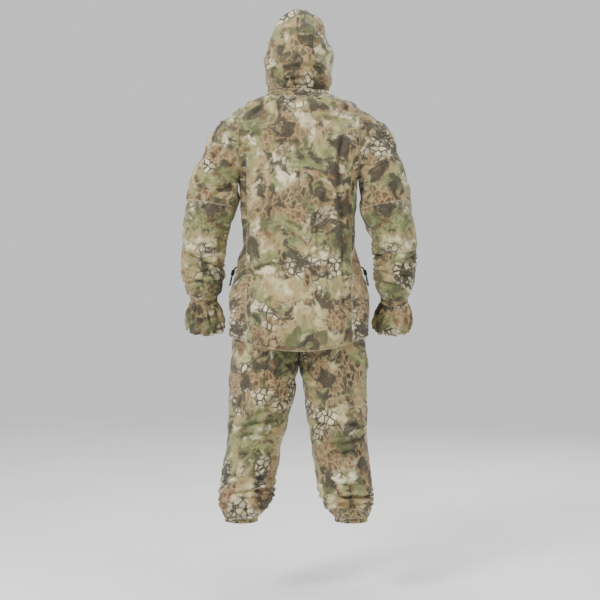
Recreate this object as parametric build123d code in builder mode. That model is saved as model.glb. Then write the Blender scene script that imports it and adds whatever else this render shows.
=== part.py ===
from build123d import *

# A two-piece camouflage over-suit: a hooded zip jacket over elasticated trousers.
#
# The wearer faces -Y, the wearer's left is +X and +Z is up. The origin is the centre of the
# neckline, where the jacket hangs on the wearer. Every fabric piece is a thin closed shell at
# its worn shape, cut from the tube that it is sewn into.

import math
import os

# ---- driving dimensions, in millimetres -------------------------------------------------
NECK_HEIGHT = 1575.0  # neckline above the wearer's soles
CLOTH = 3.0  # shell that stands for one layer of worn cloth
SEAM_GAP = 0.5  # left between two pieces sewn edge to edge
JOINT_GAP = 0.5  # left each side of a surface on which two pieces turn
LIFT = 0.5  # a patch lies this far off the cloth below it
PATCH = 2.0  # thickness of a sewn-on patch
RUN_ON = 15.0  # how far a hollow runs past its ends
FAR = 2000.0  # longer than any cut needs

ARMHOLE_X = 183.0  # plane of the armhole seams, left and right
ARMHOLE_Y, ARMHOLE_HEIGHT, ARMHOLE_R = 14.0, 1420.0, 106.0  # the round armhole
ARMHOLE_LEVELS = (-0.98, -0.85, -0.55, -0.2, 0.2, 0.55, 0.85, 0.98)
ARMPIT_DROP = 14.0  # the point that the sleeve head fans out from is this far below the armhole
ELBOW_Y, ELBOW_HEIGHT, ELBOW_R = 16.0, 1165.0, 104.0
HIP_X, HIP_Y, HIP_HEIGHT, HIP_R = 102.0, 5.0, 925.0, 122.0
KNEE_Y, KNEE_HEIGHT, KNEE_R = -3.0, 545.0, 122.0
HOOD_PIVOT_Y, HOOD_PIVOT_HEIGHT, HOOD_R = -8.0, 1590.0, 118.0
HOOD_FACE_Y = -88.0  # plane of the face opening
FACE_HEM = 24.0  # width of the hem round the face opening
HOOD_STRIP = 46.0  # half width of the strip over the top of the hood

FRONT_Y, FRONT_SLOPE = -98.0, 0.1  # the front edge is straight and leans forward going down
ZIP_TOP, ZIP_BOTTOM = 1518.0, 800.0
ZIP_GAP = 8.0  # half the gap between the front panels
HEM_SIDE, HEM_MIDDLE = 838.0, 778.0  # the hem hangs lower at the middle than at the sides
SIDE_SEAM = 163.0  # X of the side seams, which lie behind the wearer's sides
SIDE_SEAM_TOP = 1300.0  # above this the back panel is as wide as the armholes allow
WAIST_BOTTOM, WAIST_TOP = 1020.0, 1048.0  # drawcord tunnel inside the waist
TUNNEL_GAP = 30.0  # half the gap between the tunnel's ends, behind the zip
BAND_BOTTOM, BAND_TOP = 1085.5, 1162.0  # waistband of the trousers
BAND_ELASTIC = (1090.0, 1150.0)  # heights of the elastic inside the waistband
BAND_BUTTON = 1120.0  # height of the waistband's button
ELBOW_PATCH = (1080.0, 1230.0)  # heights of the elbow patch
ELBOW_PATCH_INNER = 213.0  # X of the patch's inner edge
KNEE_PATCH = (440.0, 620.0)  # heights of the knee patch

CHEST_POCKET = {"x": (50, 148), "z": (1215, 1345), "flap": 52, "overlap": 12}
HIP_POCKET = {"x": (76, 174), "z": (848, 992), "flap": 56, "overlap": 12}
FLAP_WIDER = 4.0  # a flap is this much wider than its pocket on each side
BUTTON_R, BUTTON_THICK = 8.5, 2.6
BUTTON_HOLE_R, BUTTON_HOLE_PITCH = 0.9, 4.0
BUTTON_RISE = 16.0  # middle of a button above its flap's lower edge
BUTTON_LIFT = 1.2  # gap between a flap and its button

CORD_R = 1.5
CORD_LOCK_R, CORD_LOCK_LENGTH = 7.0, 17.0
EYELET_R, EYELET_BORE, EYELET_THICK = 6.0, 2.6, 1.2


def up(height):
    """Z of a point this far above the wearer's soles."""
    return height - NECK_HEIGHT


def front(height):
    """Y of the jacket's front edge at a height."""
    return FRONT_Y - FRONT_SLOPE * (NECK_HEIGHT - height)


# ---- tubes: each section is (centre, direction along the tube, half width, half depth) ----
def level(height, half_width, front_y, back_y, centre_x=0.0):
    """A level oval section between a front and a back."""
    centre = Vector(centre_x, (front_y + back_y) / 2, up(height))
    return centre, Vector(0, 0, 1), half_width, (back_y - front_y) / 2


def armhole_level(height):
    """A level section of the chest whose cut at the armhole plane is a chord of a circle."""
    half_depth = ARMHOLE_Y - front(height)
    half_chord = math.sqrt(ARMHOLE_R**2 - (height - ARMHOLE_HEIGHT) ** 2)
    half_width = ARMHOLE_X / math.sqrt(1 - (half_chord / half_depth) ** 2)
    return level(height, half_width, front(height), ARMHOLE_Y + half_depth)


TORSO = (
    [
        level(height, half_width, front(height), back)
        for height, half_width, back in (
            (770, 215, 172),
            (850, 218, 172),
            (940, 217, 165),
            (1033, 191, 140),
            (1105, 175, 130),
            (1266, 181, 146),
        )
    ]
    + [armhole_level(ARMHOLE_HEIGHT + ARMHOLE_R * share) for share in ARMHOLE_LEVELS]
    + [
        level(height, half_width, front(height), back)
        for height, half_width, back in ((1552, 152, 97), (1575, 95, 80))
    ]
)

HOOD = [
    level(height, half_width, front_y, back)
    for height, half_width, front_y, back in (
        (1579, 93, -98, 78),
        (1612, 99, -116, 100),
        (1665, 106, -128, 118),
        (1710, 102, -130, 123),
        (1755, 89, -124, 116),
        (1795, 66, -106, 96),
        (1822, 41, -72, 64),
        (1837, 16, -32, 26),
    )
]

HIPS = [
    level(height, half_width, front_y, back)
    for height, half_width, front_y, back in (
        (925, 195, -114, 124),
        (1000, 178, -110, 114),
        (1045, 166, -108, 102),
        (1085, 158, -106, 98),
    )
]

LEG = {
    "left": [
        level(height, half_width, middle_y - half_depth, middle_y + half_depth, middle_x)
        for height, middle_x, middle_y, half_width, half_depth in (
            (262, 177, 20, 56, 66),
            (312, 166, 14, 82, 92),
            (385, 157, 6, 85, 96),
            (500, 137, -3, 87, 94),
            (600, 121, -3, 99, 101),
            (720, 112, 0, 104, 107),
            (820, 106, 3, 100, 112),
            (925, 99, 5, 95, 115),
            (1000, 90, 3, 86, 106),
            (1045, 82, 0, 78, 98),
        )
    ],
    "right": [
        level(height, half_width, middle_y - half_depth, middle_y + half_depth, -middle_x)
        for height, middle_x, middle_y, half_width, half_depth in (
            (262, 160, 20, 56, 66),
            (312, 149, 14, 82, 92),
            (385, 137, 6, 85, 96),
            (500, 124, -3, 89, 94),
            (600, 116, -3, 96, 101),
            (720, 110, 0, 102, 107),
            (820, 106, 3, 100, 112),
            (925, 99, 5, 95, 115),
            (1000, 90, 3, 86, 106),
            (1045, 82, 0, 78, 98),
        )
    ],
}


def sleeve_head():
    """Oval sections that fan out about the armpit, from the round armhole to level."""
    corner = Vector(ARMHOLE_X + SEAM_GAP, ARMHOLE_Y, up(ARMHOLE_HEIGHT - ARMHOLE_R - ARMPIT_DROP))
    sections = []
    for turn, inner, outer, half_depth in (
        (0, ARMPIT_DROP, ARMPIT_DROP + 2 * ARMHOLE_R, ARMHOLE_R),
        (18, 9, 202, 102),
        (38, 6, 166, 96),
        (66, 6, 147, 89),
        (90, 6, 153, 85),
    ):
        across = Vector(math.sin(math.radians(turn)), 0, math.cos(math.radians(turn)))
        centre = corner + across * ((inner + outer) / 2)
        along = Vector(across.Z, 0, -across.X)
        sections.append((centre, along, (outer - inner) / 2, half_depth))
    return sections


FOREARM_LEAN = Vector(0.02, -0.34, -1)
SLEEVE_HEAD = sleeve_head()
SLEEVE = SLEEVE_HEAD[-1:] + [
    (Vector(266, 14, up(1235)), Vector(0.14, 0, -1), 76.0, 81.0),
    (Vector(284, 16, up(1165)), Vector(0.14, -0.08, -1), 71.0, 77.0),
    (Vector(298, 6, up(1090)), Vector(0.06, -0.2, -1), 67.0, 74.0),
    (Vector(302, -20, up(1010)), FOREARM_LEAN, 65.0, 70.0),
    (Vector(302, -34, up(968)), FOREARM_LEAN, 58.0, 62.0),
    (Vector(301, -43, up(941)), FOREARM_LEAN, 42.0, 46.0),
]

WRIST = [
    (Vector(301, -44, up(938)), FOREARM_LEAN, 41.5, 45.5),
    (Vector(301, -48, up(925)), FOREARM_LEAN, 41.5, 45.5),
]

CUFF = [
    (Vector(301, -49, up(922)), FOREARM_LEAN, 42.0, 46.0),
    (Vector(300, -60, up(890)), FOREARM_LEAN, 56.0, 58.0),
    (Vector(298, -71, up(858)), FOREARM_LEAN, 61.0, 62.0),
    (Vector(296, -78, up(836)), FOREARM_LEAN, 57.0, 58.0),
]

ANKLE = {
    side: [
        level(height, 50, -36, 76, middle_x)
        for height in (240, 258)
    ]
    for side, middle_x in (("left", 179), ("right", -162))
}


def grown(sections, by, run_on=0.0):
    """The solid inside a tube's sections, each grown by a distance, and run on past its ends."""
    stations = [(section, 0.0) for section in sections]
    if run_on:
        stations.insert(0, (sections[0], -run_on))
        stations.append((sections[-1], run_on))
    with BuildPart() as body:
        for (centre, along, half_width, half_depth), step in stations:
            start = centre + along.normalized() * step
            with BuildSketch(Plane(start, x_dir=along.cross(Vector(0, 1, 0)), z_dir=along)):
                Ellipse(half_width + by, half_depth + by)
        loft(ruled=True)
    return body.part


def skin(sections, inner, outer):
    """A tube wall between two distances out from the tube's own surface."""
    core = grown(sections, inner, RUN_ON)
    with BuildPart() as wall:
        add(grown(sections, outer))
        add(core, mode=Mode.SUBTRACT)
    return wall.part


def on_wall(sections, height, angle):
    """The point and the outward normal of a level tube's wall, at a height and an angle.

    The angle is 0 at +X and grows towards +Y.
    """
    ordered = sorted(sections, key=lambda section: section[0].Z)
    lower, upper = next(
        (a, b) for a, b in zip(ordered, ordered[1:]) if a[0].Z <= up(height) <= b[0].Z
    )
    share = (up(height) - lower[0].Z) / (upper[0].Z - lower[0].Z)
    centre = lower[0] + (upper[0] - lower[0]) * share
    half_width = lower[2] + (upper[2] - lower[2]) * share
    half_depth = lower[3] + (upper[3] - lower[3]) * share
    turn = math.radians(angle)
    point = centre + Vector(half_width * math.cos(turn), half_depth * math.sin(turn), 0)
    normal = Vector(math.cos(turn) / half_width, math.sin(turn) / half_depth, 0).normalized()
    return point, normal


# ---- cutting helpers --------------------------------------------------------------------
ALL = (-FAR, FAR)


def span(x=ALL, y=ALL, z=ALL):
    """A box between two limits on each axis."""
    with BuildPart() as block:
        with Locations(((x[0] + x[1]) / 2, (y[0] + y[1]) / 2, (z[0] + z[1]) / 2)):
            Box(x[1] - x[0], y[1] - y[0], z[1] - z[0])
    return block.part


def roller(y, height, radius):
    """A cylinder right across the body, on which a knee or an elbow turns."""
    with BuildPart() as bar:
        with BuildSketch(Plane.YZ):
            with Locations((y, up(height))):
                Circle(radius)
        extrude(amount=FAR, both=True)
    return bar.part


def ball(x, y, height, radius):
    """A ball, on which the hood or a hip turns."""
    with BuildPart() as globe:
        with Locations((x, y, up(height))):
            Sphere(radius)
    return globe.part


def joined(*parts):
    """Several parts as one."""
    with BuildPart() as whole:
        for part in parts:
            add(part)
    return whole.part


def kept(part, *cutters):
    """What a part shares with every cutter."""
    with BuildPart() as rest:
        add(part)
        for cutter in cutters:
            add(cutter, mode=Mode.INTERSECT)
    return rest.part


def without(part, *cutters):
    """A part with the cutters taken away."""
    with BuildPart() as rest:
        add(part)
        for cutter in cutters:
            add(cutter, mode=Mode.SUBTRACT)
    return rest.part


def write(part, label):
    """Writes one node."""
    part.label = label
    export_step(part, f"parts/{label}.step")


def write_pair(part, label):
    """Writes a left-hand piece and its mirror image."""
    write(part, f"{label}_left")
    write(mirror(part, about=Plane.YZ), f"{label}_right")


# ---- jacket body ------------------------------------------------------------------------
def above_hem(clearance=0.0):
    """The space above the curved hem line."""
    side, middle = up(HEM_SIDE) + clearance, up(HEM_MIDDLE) + clearance
    with BuildPart() as region:
        with BuildSketch(Plane.XZ):
            with BuildLine():
                ThreePointArc((-240, side), (0, middle), (240, side))
                Polyline((240, side), (240, 20), (-240, 20), (-240, side))
            make_face()
        extrude(amount=FAR, both=True)
    return region.part


def jacket_body(ball_of_hood):
    """The back panel and the two front panels, open at the armholes and the neck."""
    shell = without(
        kept(
            skin(TORSO, -CLOTH, 0),
            above_hem(),
            joined(span(x=(-ARMHOLE_X, ARMHOLE_X)), span(z=(-FAR, up(1200)))),
        ),
        ball_of_hood,
    )
    back = SIDE_SEAM - SEAM_GAP
    below = span((-back, back), (SEAM_GAP, FAR), (-FAR, up(SIDE_SEAM_TOP) + 1))
    above = span(y=(SEAM_GAP, FAR), z=(up(SIDE_SEAM_TOP), FAR))
    write(kept(shell, joined(below, above)), "jacket_back")
    hole_below = span((-SIDE_SEAM, SIDE_SEAM), (0, FAR), (-FAR, up(SIDE_SEAM_TOP) + 1))
    hole_above = span(y=(0, FAR), z=(up(SIDE_SEAM_TOP), FAR))
    front_shell = without(shell, hole_below, hole_above)
    write_pair(kept(front_shell, span(x=(ZIP_GAP, FAR))), "jacket_front")


def waist_tunnel():
    """The tape inside the waist that the drawcord runs in."""
    tape = skin(TORSO, -CLOTH - LIFT - PATCH, -CLOTH - LIFT)
    band = kept(tape, span(z=(up(WAIST_BOTTOM), up(WAIST_TOP))))
    gap = span(x=(-TUNNEL_GAP, TUNNEL_GAP), y=(-FAR, 0))
    write(without(band, gap), "waist_tunnel")


# ---- pockets ----------------------------------------------------------------------------
HINGE_LIFT = 0.3  # a flap's hinge line lies this far off the flap


def on_front(x, height):
    """The point and the outward normal on the front of the jacket's tube."""
    half_width = on_wall(TORSO, height, 0)[0].X
    return on_wall(TORSO, height, -math.degrees(math.acos(x / half_width)))


def button(seat, normal):
    """A flat button with four holes."""
    with BuildPart() as disc:
        with BuildSketch(Plane(seat, z_dir=normal)):
            Circle(BUTTON_R)
            with GridLocations(BUTTON_HOLE_PITCH, BUTTON_HOLE_PITCH, 2, 2):
                Circle(BUTTON_HOLE_R, mode=Mode.SUBTRACT)
        extrude(amount=BUTTON_THICK)
    return disc.part


def pocket(size, label):
    """A patch pocket with a hanging flap and the flap's button; prints the flap's hinge."""
    (x_in, x_out), (bottom, top) = size["x"], size["z"]
    patch = skin(TORSO, LIFT, LIFT + PATCH)
    write_pair(
        kept(patch, span((x_in, x_out), (-FAR, 0), (up(bottom), up(top)))), f"{label}_pocket"
    )
    flap_in, flap_out = 2 * LIFT + PATCH, 2 * (LIFT + PATCH)
    flap_top = top + size["overlap"]
    flap_span = span(
        (x_in - FLAP_WIDER, x_out + FLAP_WIDER),
        (-FAR, 0),
        (up(flap_top - size["flap"]), up(flap_top)),
    )
    write_pair(kept(skin(TORSO, flap_in, flap_out), flap_span), f"{label}_flap")

    middle = (x_in + x_out) / 2
    point, normal = on_front(middle, flap_top - size["flap"] + BUTTON_RISE)
    write_pair(button(point + normal * (flap_out + BUTTON_LIFT), normal), f"{label}_button")

    inner_end = on_front(x_in - FLAP_WIDER, flap_top)[0]
    outer_end = on_front(x_out + FLAP_WIDER, flap_top)[0]
    along = (outer_end - inner_end).normalized()
    out = Vector(along.Y, -along.X, 0)
    pivot = on_front(middle, flap_top)[0] + out * (flap_out + HINGE_LIFT)
    print(f"{label} flap hinge at {pivot}, along {along}")


# ---- zip --------------------------------------------------------------------------------
ZIP_LINE = Vector(0, FRONT_SLOPE, 1).normalized()
ZIP_LENGTH = (ZIP_TOP - ZIP_BOTTOM) * math.hypot(1, FRONT_SLOPE)
ZIP_PLANE = Plane((0, front(ZIP_TOP), up(ZIP_TOP)), x_dir=(1, 0, 0), z_dir=ZIP_LINE)
TOOTH_IN, TOOTH_OUT = 1.2, 4.2  # X of one side of the chain
CHAIN_NEAR, CHAIN_FAR = 3.8, 6.2  # how far the chain lies behind the front edge
TAPE_OUT = 15.0


def zip_block(x, depth, along):
    """A box in the zip's own frame: across, behind the front edge, and up from the zip's top."""
    with BuildPart(ZIP_PLANE) as block:
        with Locations(((x[0] + x[1]) / 2, (depth[0] + depth[1]) / 2, (along[0] + along[1]) / 2)):
            Box(x[1] - x[0], depth[1] - depth[0], along[1] - along[0])
    return block.part


def zip_sides():
    """The two tapes and the two sides of the moulded chain."""
    chain_middle = (CHAIN_NEAR + CHAIN_FAR) / 2
    tape_depth = (chain_middle - 0.5, chain_middle + 0.5)
    tape = zip_block((TOOTH_OUT + 0.1, TAPE_OUT), tape_depth, (-ZIP_LENGTH, 0))
    write_pair(tape, "zip_tape")
    chain = zip_block((TOOTH_IN, TOOTH_OUT), (CHAIN_NEAR, CHAIN_FAR), (-ZIP_LENGTH + 8, -4))
    write_pair(chain, "zip_chain")


SLIDER_TOP, SLIDER_LENGTH = -6.0, 15.0
SLIDER_HALF = 4.6
PULL_DEPTH = 0.6  # where the pull's crossbar lies behind the front edge
PULL_FROM_TOP = -6.5  # crossbar, down from the slider's top


def zip_slider():
    """Two plates joined by a neck between the chain's sides, and the bail in front."""
    top, bottom = SLIDER_TOP, SLIDER_TOP - SLIDER_LENGTH
    bar = SLIDER_TOP + PULL_FROM_TOP
    write(
        joined(
            zip_block((-SLIDER_HALF, SLIDER_HALF), (1.9, 3.3), (bottom, top)),
            zip_block((-SLIDER_HALF, SLIDER_HALF), (6.7, 7.9), (bottom, top)),
            zip_block((-0.9, 0.9), (3.3, 6.7), (top - 6, top)),
            zip_block((-0.9, 0.9), (-2.2, 1.9), (bar + 2.4, bar + 4.2)),
            zip_block((-0.9, 0.9), (-2.2, 1.9), (bar - 4.2, bar - 2.4)),
            zip_block((-0.9, 0.9), (-2.2, -0.8), (bar - 4.2, bar + 4.2)),
        ),
        "zip_slider",
    )


def zip_pull():
    """A flat pull whose crossbar turns under the slider's bail."""
    bar = SLIDER_TOP + PULL_FROM_TOP
    thick = (PULL_DEPTH - 0.6, PULL_DEPTH + 0.6)
    plate = zip_block((-3.6, 3.6), thick, (bar - 32, bar + 0.6))
    window = zip_block((-1.5, 1.5), (-20, 20), (bar - 7.5, bar - 0.6))
    finger_hole = zip_block((-1.6, 1.6), (-20, 20), (bar - 28, bar - 16))
    write(without(plate, window, finger_hole), "zip_pull")


# ---- waist drawcord ends ----------------------------------------------------------------
def waist_cord():
    """The loop of drawcord at each side of the waist, its eyelets and its cord lock."""
    point, normal = on_wall(TORSO, 1034, -8)
    down = Vector(0.27, 0, -1).normalized()
    across = normal.cross(down).normalized()
    out = down.cross(across).normalized()
    if out.X < 0:
        out = -out
    start = point + out * 1.0
    half_loop = [
        (6, 0, 0),
        (6, 9, 3),
        (4.4, 13, 15),
        (4.2, 13.5, 38),
        (8, 12.5, 52),
        (5.5, 12, 65),
    ]
    route = [start + across * -side + out * off + down * drop for side, off, drop in half_loop]
    route += [
        start + across * side + out * off + down * drop for side, off, drop in half_loop[::-1]
    ]
    radii = []
    for before, corner, after in zip(route, route[1:], route[2:]):
        turn = math.radians((corner - before).get_angle(after - corner))
        shorter = min((corner - before).length, (after - corner).length)
        radii.append(0.45 * shorter / math.tan(turn / 2))
    print("waist cord radii", [round(radius, 1) for radius in radii])
    with BuildPart() as cord:
        with BuildLine() as path:
            FilletPolyline(*route, radius=radii)
        wire = path.wires()[0]
        with BuildSketch(Plane(wire @ 0, z_dir=wire % 0)):
            Circle(CORD_R)
        sweep(path=wire)
    length = wire.length
    share = cord.part.volume / (math.pi * CORD_R**2 * length)
    print(f"waist cord length {length:.1f}, volume share {share:.4f}")
    print("waist cord route, metres", [[round(v / 1000, 4) for v in p] for p in route])
    write_pair(cord.part, "waist_cord")

    lock_top = start + out * 13.2 + down * 14
    lock_plane = Plane(lock_top, x_dir=across, z_dir=down)
    with BuildPart() as lock:
        with BuildSketch(lock_plane):
            SlotCenterToCenter(10, 2 * CORD_LOCK_R - 5)
        extrude(amount=CORD_LOCK_LENGTH)
        with BuildSketch(lock_plane):
            SlotCenterToCenter(9.4, 2 * CORD_R + 2.2)
        extrude(amount=CORD_LOCK_LENGTH, mode=Mode.SUBTRACT)
    write_pair(lock.part, "waist_cord_lock")
    print("cord lock at", lock_top, "slides along", down)


# ---- hood -------------------------------------------------------------------------------
def hood(ball_inside):
    """The neck piece, the two sides, the strip over the top and the hem of the face opening."""
    neck = kept(skin(TORSO, -CLOTH, 0), ball_inside, span(z=(up(1480), FAR)))
    write(without(neck, span(x=(-ZIP_GAP, ZIP_GAP), y=(-FAR, 0))), "hood_neck")
    top_centre, top_along, top_width, top_depth = HOOD[-1]
    roof = (top_centre - Vector(0, 0, CLOTH), top_along, top_width, top_depth)
    below = (HOOD[0][0] - Vector(0, 0, RUN_ON), *HOOD[0][1:])
    shell = without(grown(HOOD, 0), grown([below, *HOOD[:-1], roof], -CLOTH))
    behind = span(y=(HOOD_FACE_Y + FACE_HEM, FAR))
    hem_front = span(y=(HOOD_FACE_Y, HOOD_FACE_Y + FACE_HEM - SEAM_GAP))
    write(kept(shell, hem_front), "hood_face_hem")
    body = kept(shell, behind)
    write_pair(kept(body, span(x=(HOOD_STRIP, FAR))), "hood_side")
    edge = HOOD_STRIP - SEAM_GAP
    write(kept(body, span(x=(-edge, edge))), "hood_center")

    point, normal = on_wall(HOOD, 1602, -48)
    with BuildPart() as eyelet:
        with BuildSketch(Plane(point + normal * 2.2, z_dir=normal)):
            Circle(EYELET_R)
            Circle(EYELET_BORE, mode=Mode.SUBTRACT)
        extrude(amount=EYELET_THICK)
    write_pair(eyelet.part, "hood_eyelet")


# ---- sleeves ----------------------------------------------------------------------------
def sleeves():
    """The upper and lower sleeve, elbow patch, wrist elastic and flared cuff of each arm."""
    outer = joined(skin(SLEEVE_HEAD, -CLOTH, 0), skin(SLEEVE, -CLOTH, 0))
    above = span(z=(up(ELBOW_HEIGHT), FAR))
    below = span(z=(-FAR, up(ELBOW_HEIGHT)))
    inside = roller(ELBOW_Y, ELBOW_HEIGHT, ELBOW_R - JOINT_GAP)
    write_pair(
        without(kept(outer, above), roller(ELBOW_Y, ELBOW_HEIGHT, ELBOW_R)), "upper_sleeve"
    )
    write_pair(kept(outer, joined(below, inside)), "lower_sleeve")
    patch = kept(
        skin(SLEEVE, LIFT, LIFT + PATCH),
        span((ELBOW_PATCH_INNER, FAR), (ELBOW_Y, FAR), (up(ELBOW_PATCH[0]), up(ELBOW_PATCH[1]))),
        roller(ELBOW_Y, ELBOW_HEIGHT, ELBOW_R - JOINT_GAP),
    )
    write_pair(patch, "elbow_patch")
    write_pair(skin(WRIST, -CLOTH, 0), "wrist_elastic")
    write_pair(skin(CUFF, -CLOTH, 0), "cuff")


# ---- trousers ---------------------------------------------------------------------------
def hips():
    """The fixed part of the trousers: hips, waistband, its elastic and its button."""
    shell = skin(HIPS, -CLOTH, 0)
    balls = [ball(side * HIP_X, HIP_Y, HIP_HEIGHT, HIP_R) for side in (1, -1)]
    rest = without(shell, *balls)
    write(kept(rest, span(y=(SEAM_GAP, FAR))), "trouser_hips_back")
    write(kept(rest, span(y=(-FAR, 0))), "trouser_hips_front")
    centre, *size = HIPS[-1]
    band = [(Vector(centre.X, centre.Y, up(height)), *size) for height in (BAND_BOTTOM, BAND_TOP)]
    write(skin(band, -CLOTH, 0), "waistband")
    elastic = skin(band, -CLOTH - LIFT - PATCH, -CLOTH - LIFT)
    write(kept(elastic, span(z=(up(BAND_ELASTIC[0]), up(BAND_ELASTIC[1])))), "waistband_elastic")
    point, normal = on_wall(band, BAND_BUTTON, -90)
    write(button(point + normal * LIFT, normal), "waistband_button")


CROTCH = ((-62, 62), (-92, 104), (up(836), FAR))  # space where the two legs run together


def leg(side, sign):
    """The thigh, shin, knee patch and ankle elastic of one leg."""
    sections = LEG[side]
    own_half = span(x=(SEAM_GAP, FAR)) if sign > 0 else span(x=(-FAR, -SEAM_GAP))
    crotch = span(*CROTCH)
    hip_ball = ball(sign * HIP_X, HIP_Y, HIP_HEIGHT, HIP_R - JOINT_GAP)
    tube = kept(skin(sections, -CLOTH, 0), own_half)
    upper = without(
        kept(tube, joined(hip_ball, span(z=(-FAR, up(HIP_HEIGHT))))),
        crotch,
        span(z=(-FAR, up(KNEE_HEIGHT))),
        roller(KNEE_Y, KNEE_HEIGHT, KNEE_R),
    )
    write(upper, f"thigh_{side}")
    knee = roller(KNEE_Y, KNEE_HEIGHT, KNEE_R - JOINT_GAP)
    lower = kept(tube, joined(knee, span(z=(-FAR, up(KNEE_HEIGHT)))))
    write(lower, f"shin_{side}")
    patch = kept(
        skin(sections, LIFT, LIFT + PATCH),
        span(y=(-FAR, KNEE_Y - 40), z=(up(KNEE_PATCH[0]), up(KNEE_PATCH[1]))),
        roller(KNEE_Y, KNEE_HEIGHT, KNEE_R - JOINT_GAP),
    )
    write(patch, f"knee_patch_{side}")
    write(skin(ANKLE[side], -CLOTH, 0), f"ankle_elastic_{side}")


# ---- main -------------------------------------------------------------------------------
def main():
    """Writes every node of the suit."""
    os.makedirs("parts", exist_ok=True)
    jacket_body(ball(0, HOOD_PIVOT_Y, HOOD_PIVOT_HEIGHT, HOOD_R))
    waist_tunnel()
    pocket(CHEST_POCKET, "chest")
    pocket(HIP_POCKET, "hip")
    zip_sides()
    zip_slider()
    zip_pull()
    waist_cord()
    hood(ball(0, HOOD_PIVOT_Y, HOOD_PIVOT_HEIGHT, HOOD_R - JOINT_GAP))
    sleeves()
    hips()
    for side, sign in (("left", 1), ("right", -1)):
        leg(side, sign)


main()
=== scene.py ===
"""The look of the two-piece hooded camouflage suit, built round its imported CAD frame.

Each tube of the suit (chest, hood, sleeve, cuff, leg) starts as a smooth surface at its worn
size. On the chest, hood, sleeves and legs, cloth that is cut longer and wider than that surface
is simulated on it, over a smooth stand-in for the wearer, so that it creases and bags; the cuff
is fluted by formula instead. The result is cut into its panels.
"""

import math

import bmesh
import bpy
import numpy as np
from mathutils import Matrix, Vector


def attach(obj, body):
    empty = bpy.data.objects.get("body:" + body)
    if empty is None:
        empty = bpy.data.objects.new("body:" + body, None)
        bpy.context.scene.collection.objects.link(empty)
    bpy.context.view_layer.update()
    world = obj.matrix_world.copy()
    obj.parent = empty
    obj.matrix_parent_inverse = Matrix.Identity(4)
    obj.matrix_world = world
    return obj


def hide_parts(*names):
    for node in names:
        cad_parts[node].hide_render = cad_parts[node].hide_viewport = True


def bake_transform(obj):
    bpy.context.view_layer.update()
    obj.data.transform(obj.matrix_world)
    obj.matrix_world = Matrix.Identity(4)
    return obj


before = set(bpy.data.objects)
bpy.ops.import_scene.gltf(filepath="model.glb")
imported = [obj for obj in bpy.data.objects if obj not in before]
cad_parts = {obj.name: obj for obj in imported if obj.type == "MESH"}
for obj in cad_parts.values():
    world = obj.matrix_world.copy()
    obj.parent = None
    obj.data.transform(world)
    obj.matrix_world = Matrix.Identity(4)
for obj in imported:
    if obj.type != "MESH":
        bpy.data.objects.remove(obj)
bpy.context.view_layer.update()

# ---- driving dimensions, in metres ------------------------------------------------------
NECK = 1.575  # neckline above the wearer's soles
CLOTH = 0.0012  # thickness of one layer of cloth
ARMHOLE_X, ARMHOLE_Y, ARMHOLE_R = 0.183, 0.014, 0.106
ARMHOLE_HEIGHT = 1.420
ARMPIT_DROP = 0.014
HEM_SIDE, HEM_MIDDLE, HEM_REACH = 0.838, 0.778, 0.240
ZIP_GAP = 0.008
NECK_SEAM = 1.552  # height where the hood is sewn to the jacket
NECK_LAP = 1.547  # the hood's lower edge, just outside the jacket
CELL = 0.0095  # spacing of the simulated cloth
FINE = 2  # each simulated cell is cut in this many
SIM_FRAMES = 26
HEM_BLEND = 1.050  # below this height the rows of cloth bend towards the hem
THIGH_TOP = 0.925
REACH = 0.016  # most that the simulation moves a point
SIDES = (("left", 1.0), ("right", -1.0))
RANDOM = np.random.default_rng(20)


def up(height):
    """Z of a point this far above the wearer's soles."""
    return height - NECK


def front_edge(height):
    """Y of the jacket's straight front edge."""
    return -0.098 - 0.1 * (NECK - height)


# ---- smooth tubes through oval stations ---------------------------------------------------
def smooth_line(knots, values, where):
    """Values between knots on a curve that doesn't overshoot them (monotone cubic)."""
    knots = np.asarray(knots, float)
    values = np.asarray(values, float)
    if values.ndim == 1:
        values = values[:, None]
    step = np.diff(knots)[:, None]
    slope = np.diff(values, axis=0) / step
    tangent = np.zeros_like(values)
    same_way = slope[:-1] * slope[1:] > 0
    harmonic = 2 * slope[:-1] * slope[1:] / np.where(same_way, slope[:-1] + slope[1:], 1.0)
    tangent[1:-1] = np.where(same_way, harmonic, 0.0)
    tangent[0], tangent[-1] = slope[0], slope[-1]
    where = np.clip(where, knots[0], knots[-1])
    index = np.clip(np.searchsorted(knots, where) - 1, 0, len(knots) - 2)
    width = step[index, 0]
    share = ((where - knots[index]) / width)[..., None]
    width = width[..., None]
    return (
        (1 + 2 * share) * (1 - share) ** 2 * values[index]
        + share * (1 - share) ** 2 * width * tangent[index]
        + share**2 * (3 - 2 * share) * values[index + 1]
        + share**2 * (share - 1) * width * tangent[index + 1]
    )


class Tube:
    """An oval tube. Angle 0 is its back, and a quarter turn is its outer side."""

    def __init__(self, stations):
        """Stations are (knot, centre, direction along the tube, half width, half depth)."""
        self.knots = np.array([station[0] for station in stations])
        rows = []
        for _, centre, along, half_width, half_depth in stations:
            along = Vector(along).normalized()
            rows.append([*centre, *along, half_width, half_depth])
        self.rows = np.array(rows)

    def at(self, knot, angle, grow=0.0):
        """Points on the tube, grown by a distance."""
        row = smooth_line(self.knots, self.rows, np.asarray(knot, float))
        centre, along = row[..., :3], row[..., 3:6]
        across = np.stack([-along[..., 2], np.zeros_like(along[..., 0]), along[..., 0]], -1)
        across /= np.linalg.norm(across, axis=-1, keepdims=True)
        back = np.cross(across, along)
        back /= np.linalg.norm(back, axis=-1, keepdims=True)
        half_width = (row[..., 6] + grow)[..., None]
        half_depth = (row[..., 7] + grow)[..., None]
        angle = np.asarray(angle, float)[..., None]
        return centre + across * half_width * np.sin(angle) + back * half_depth * np.cos(angle)


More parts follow.
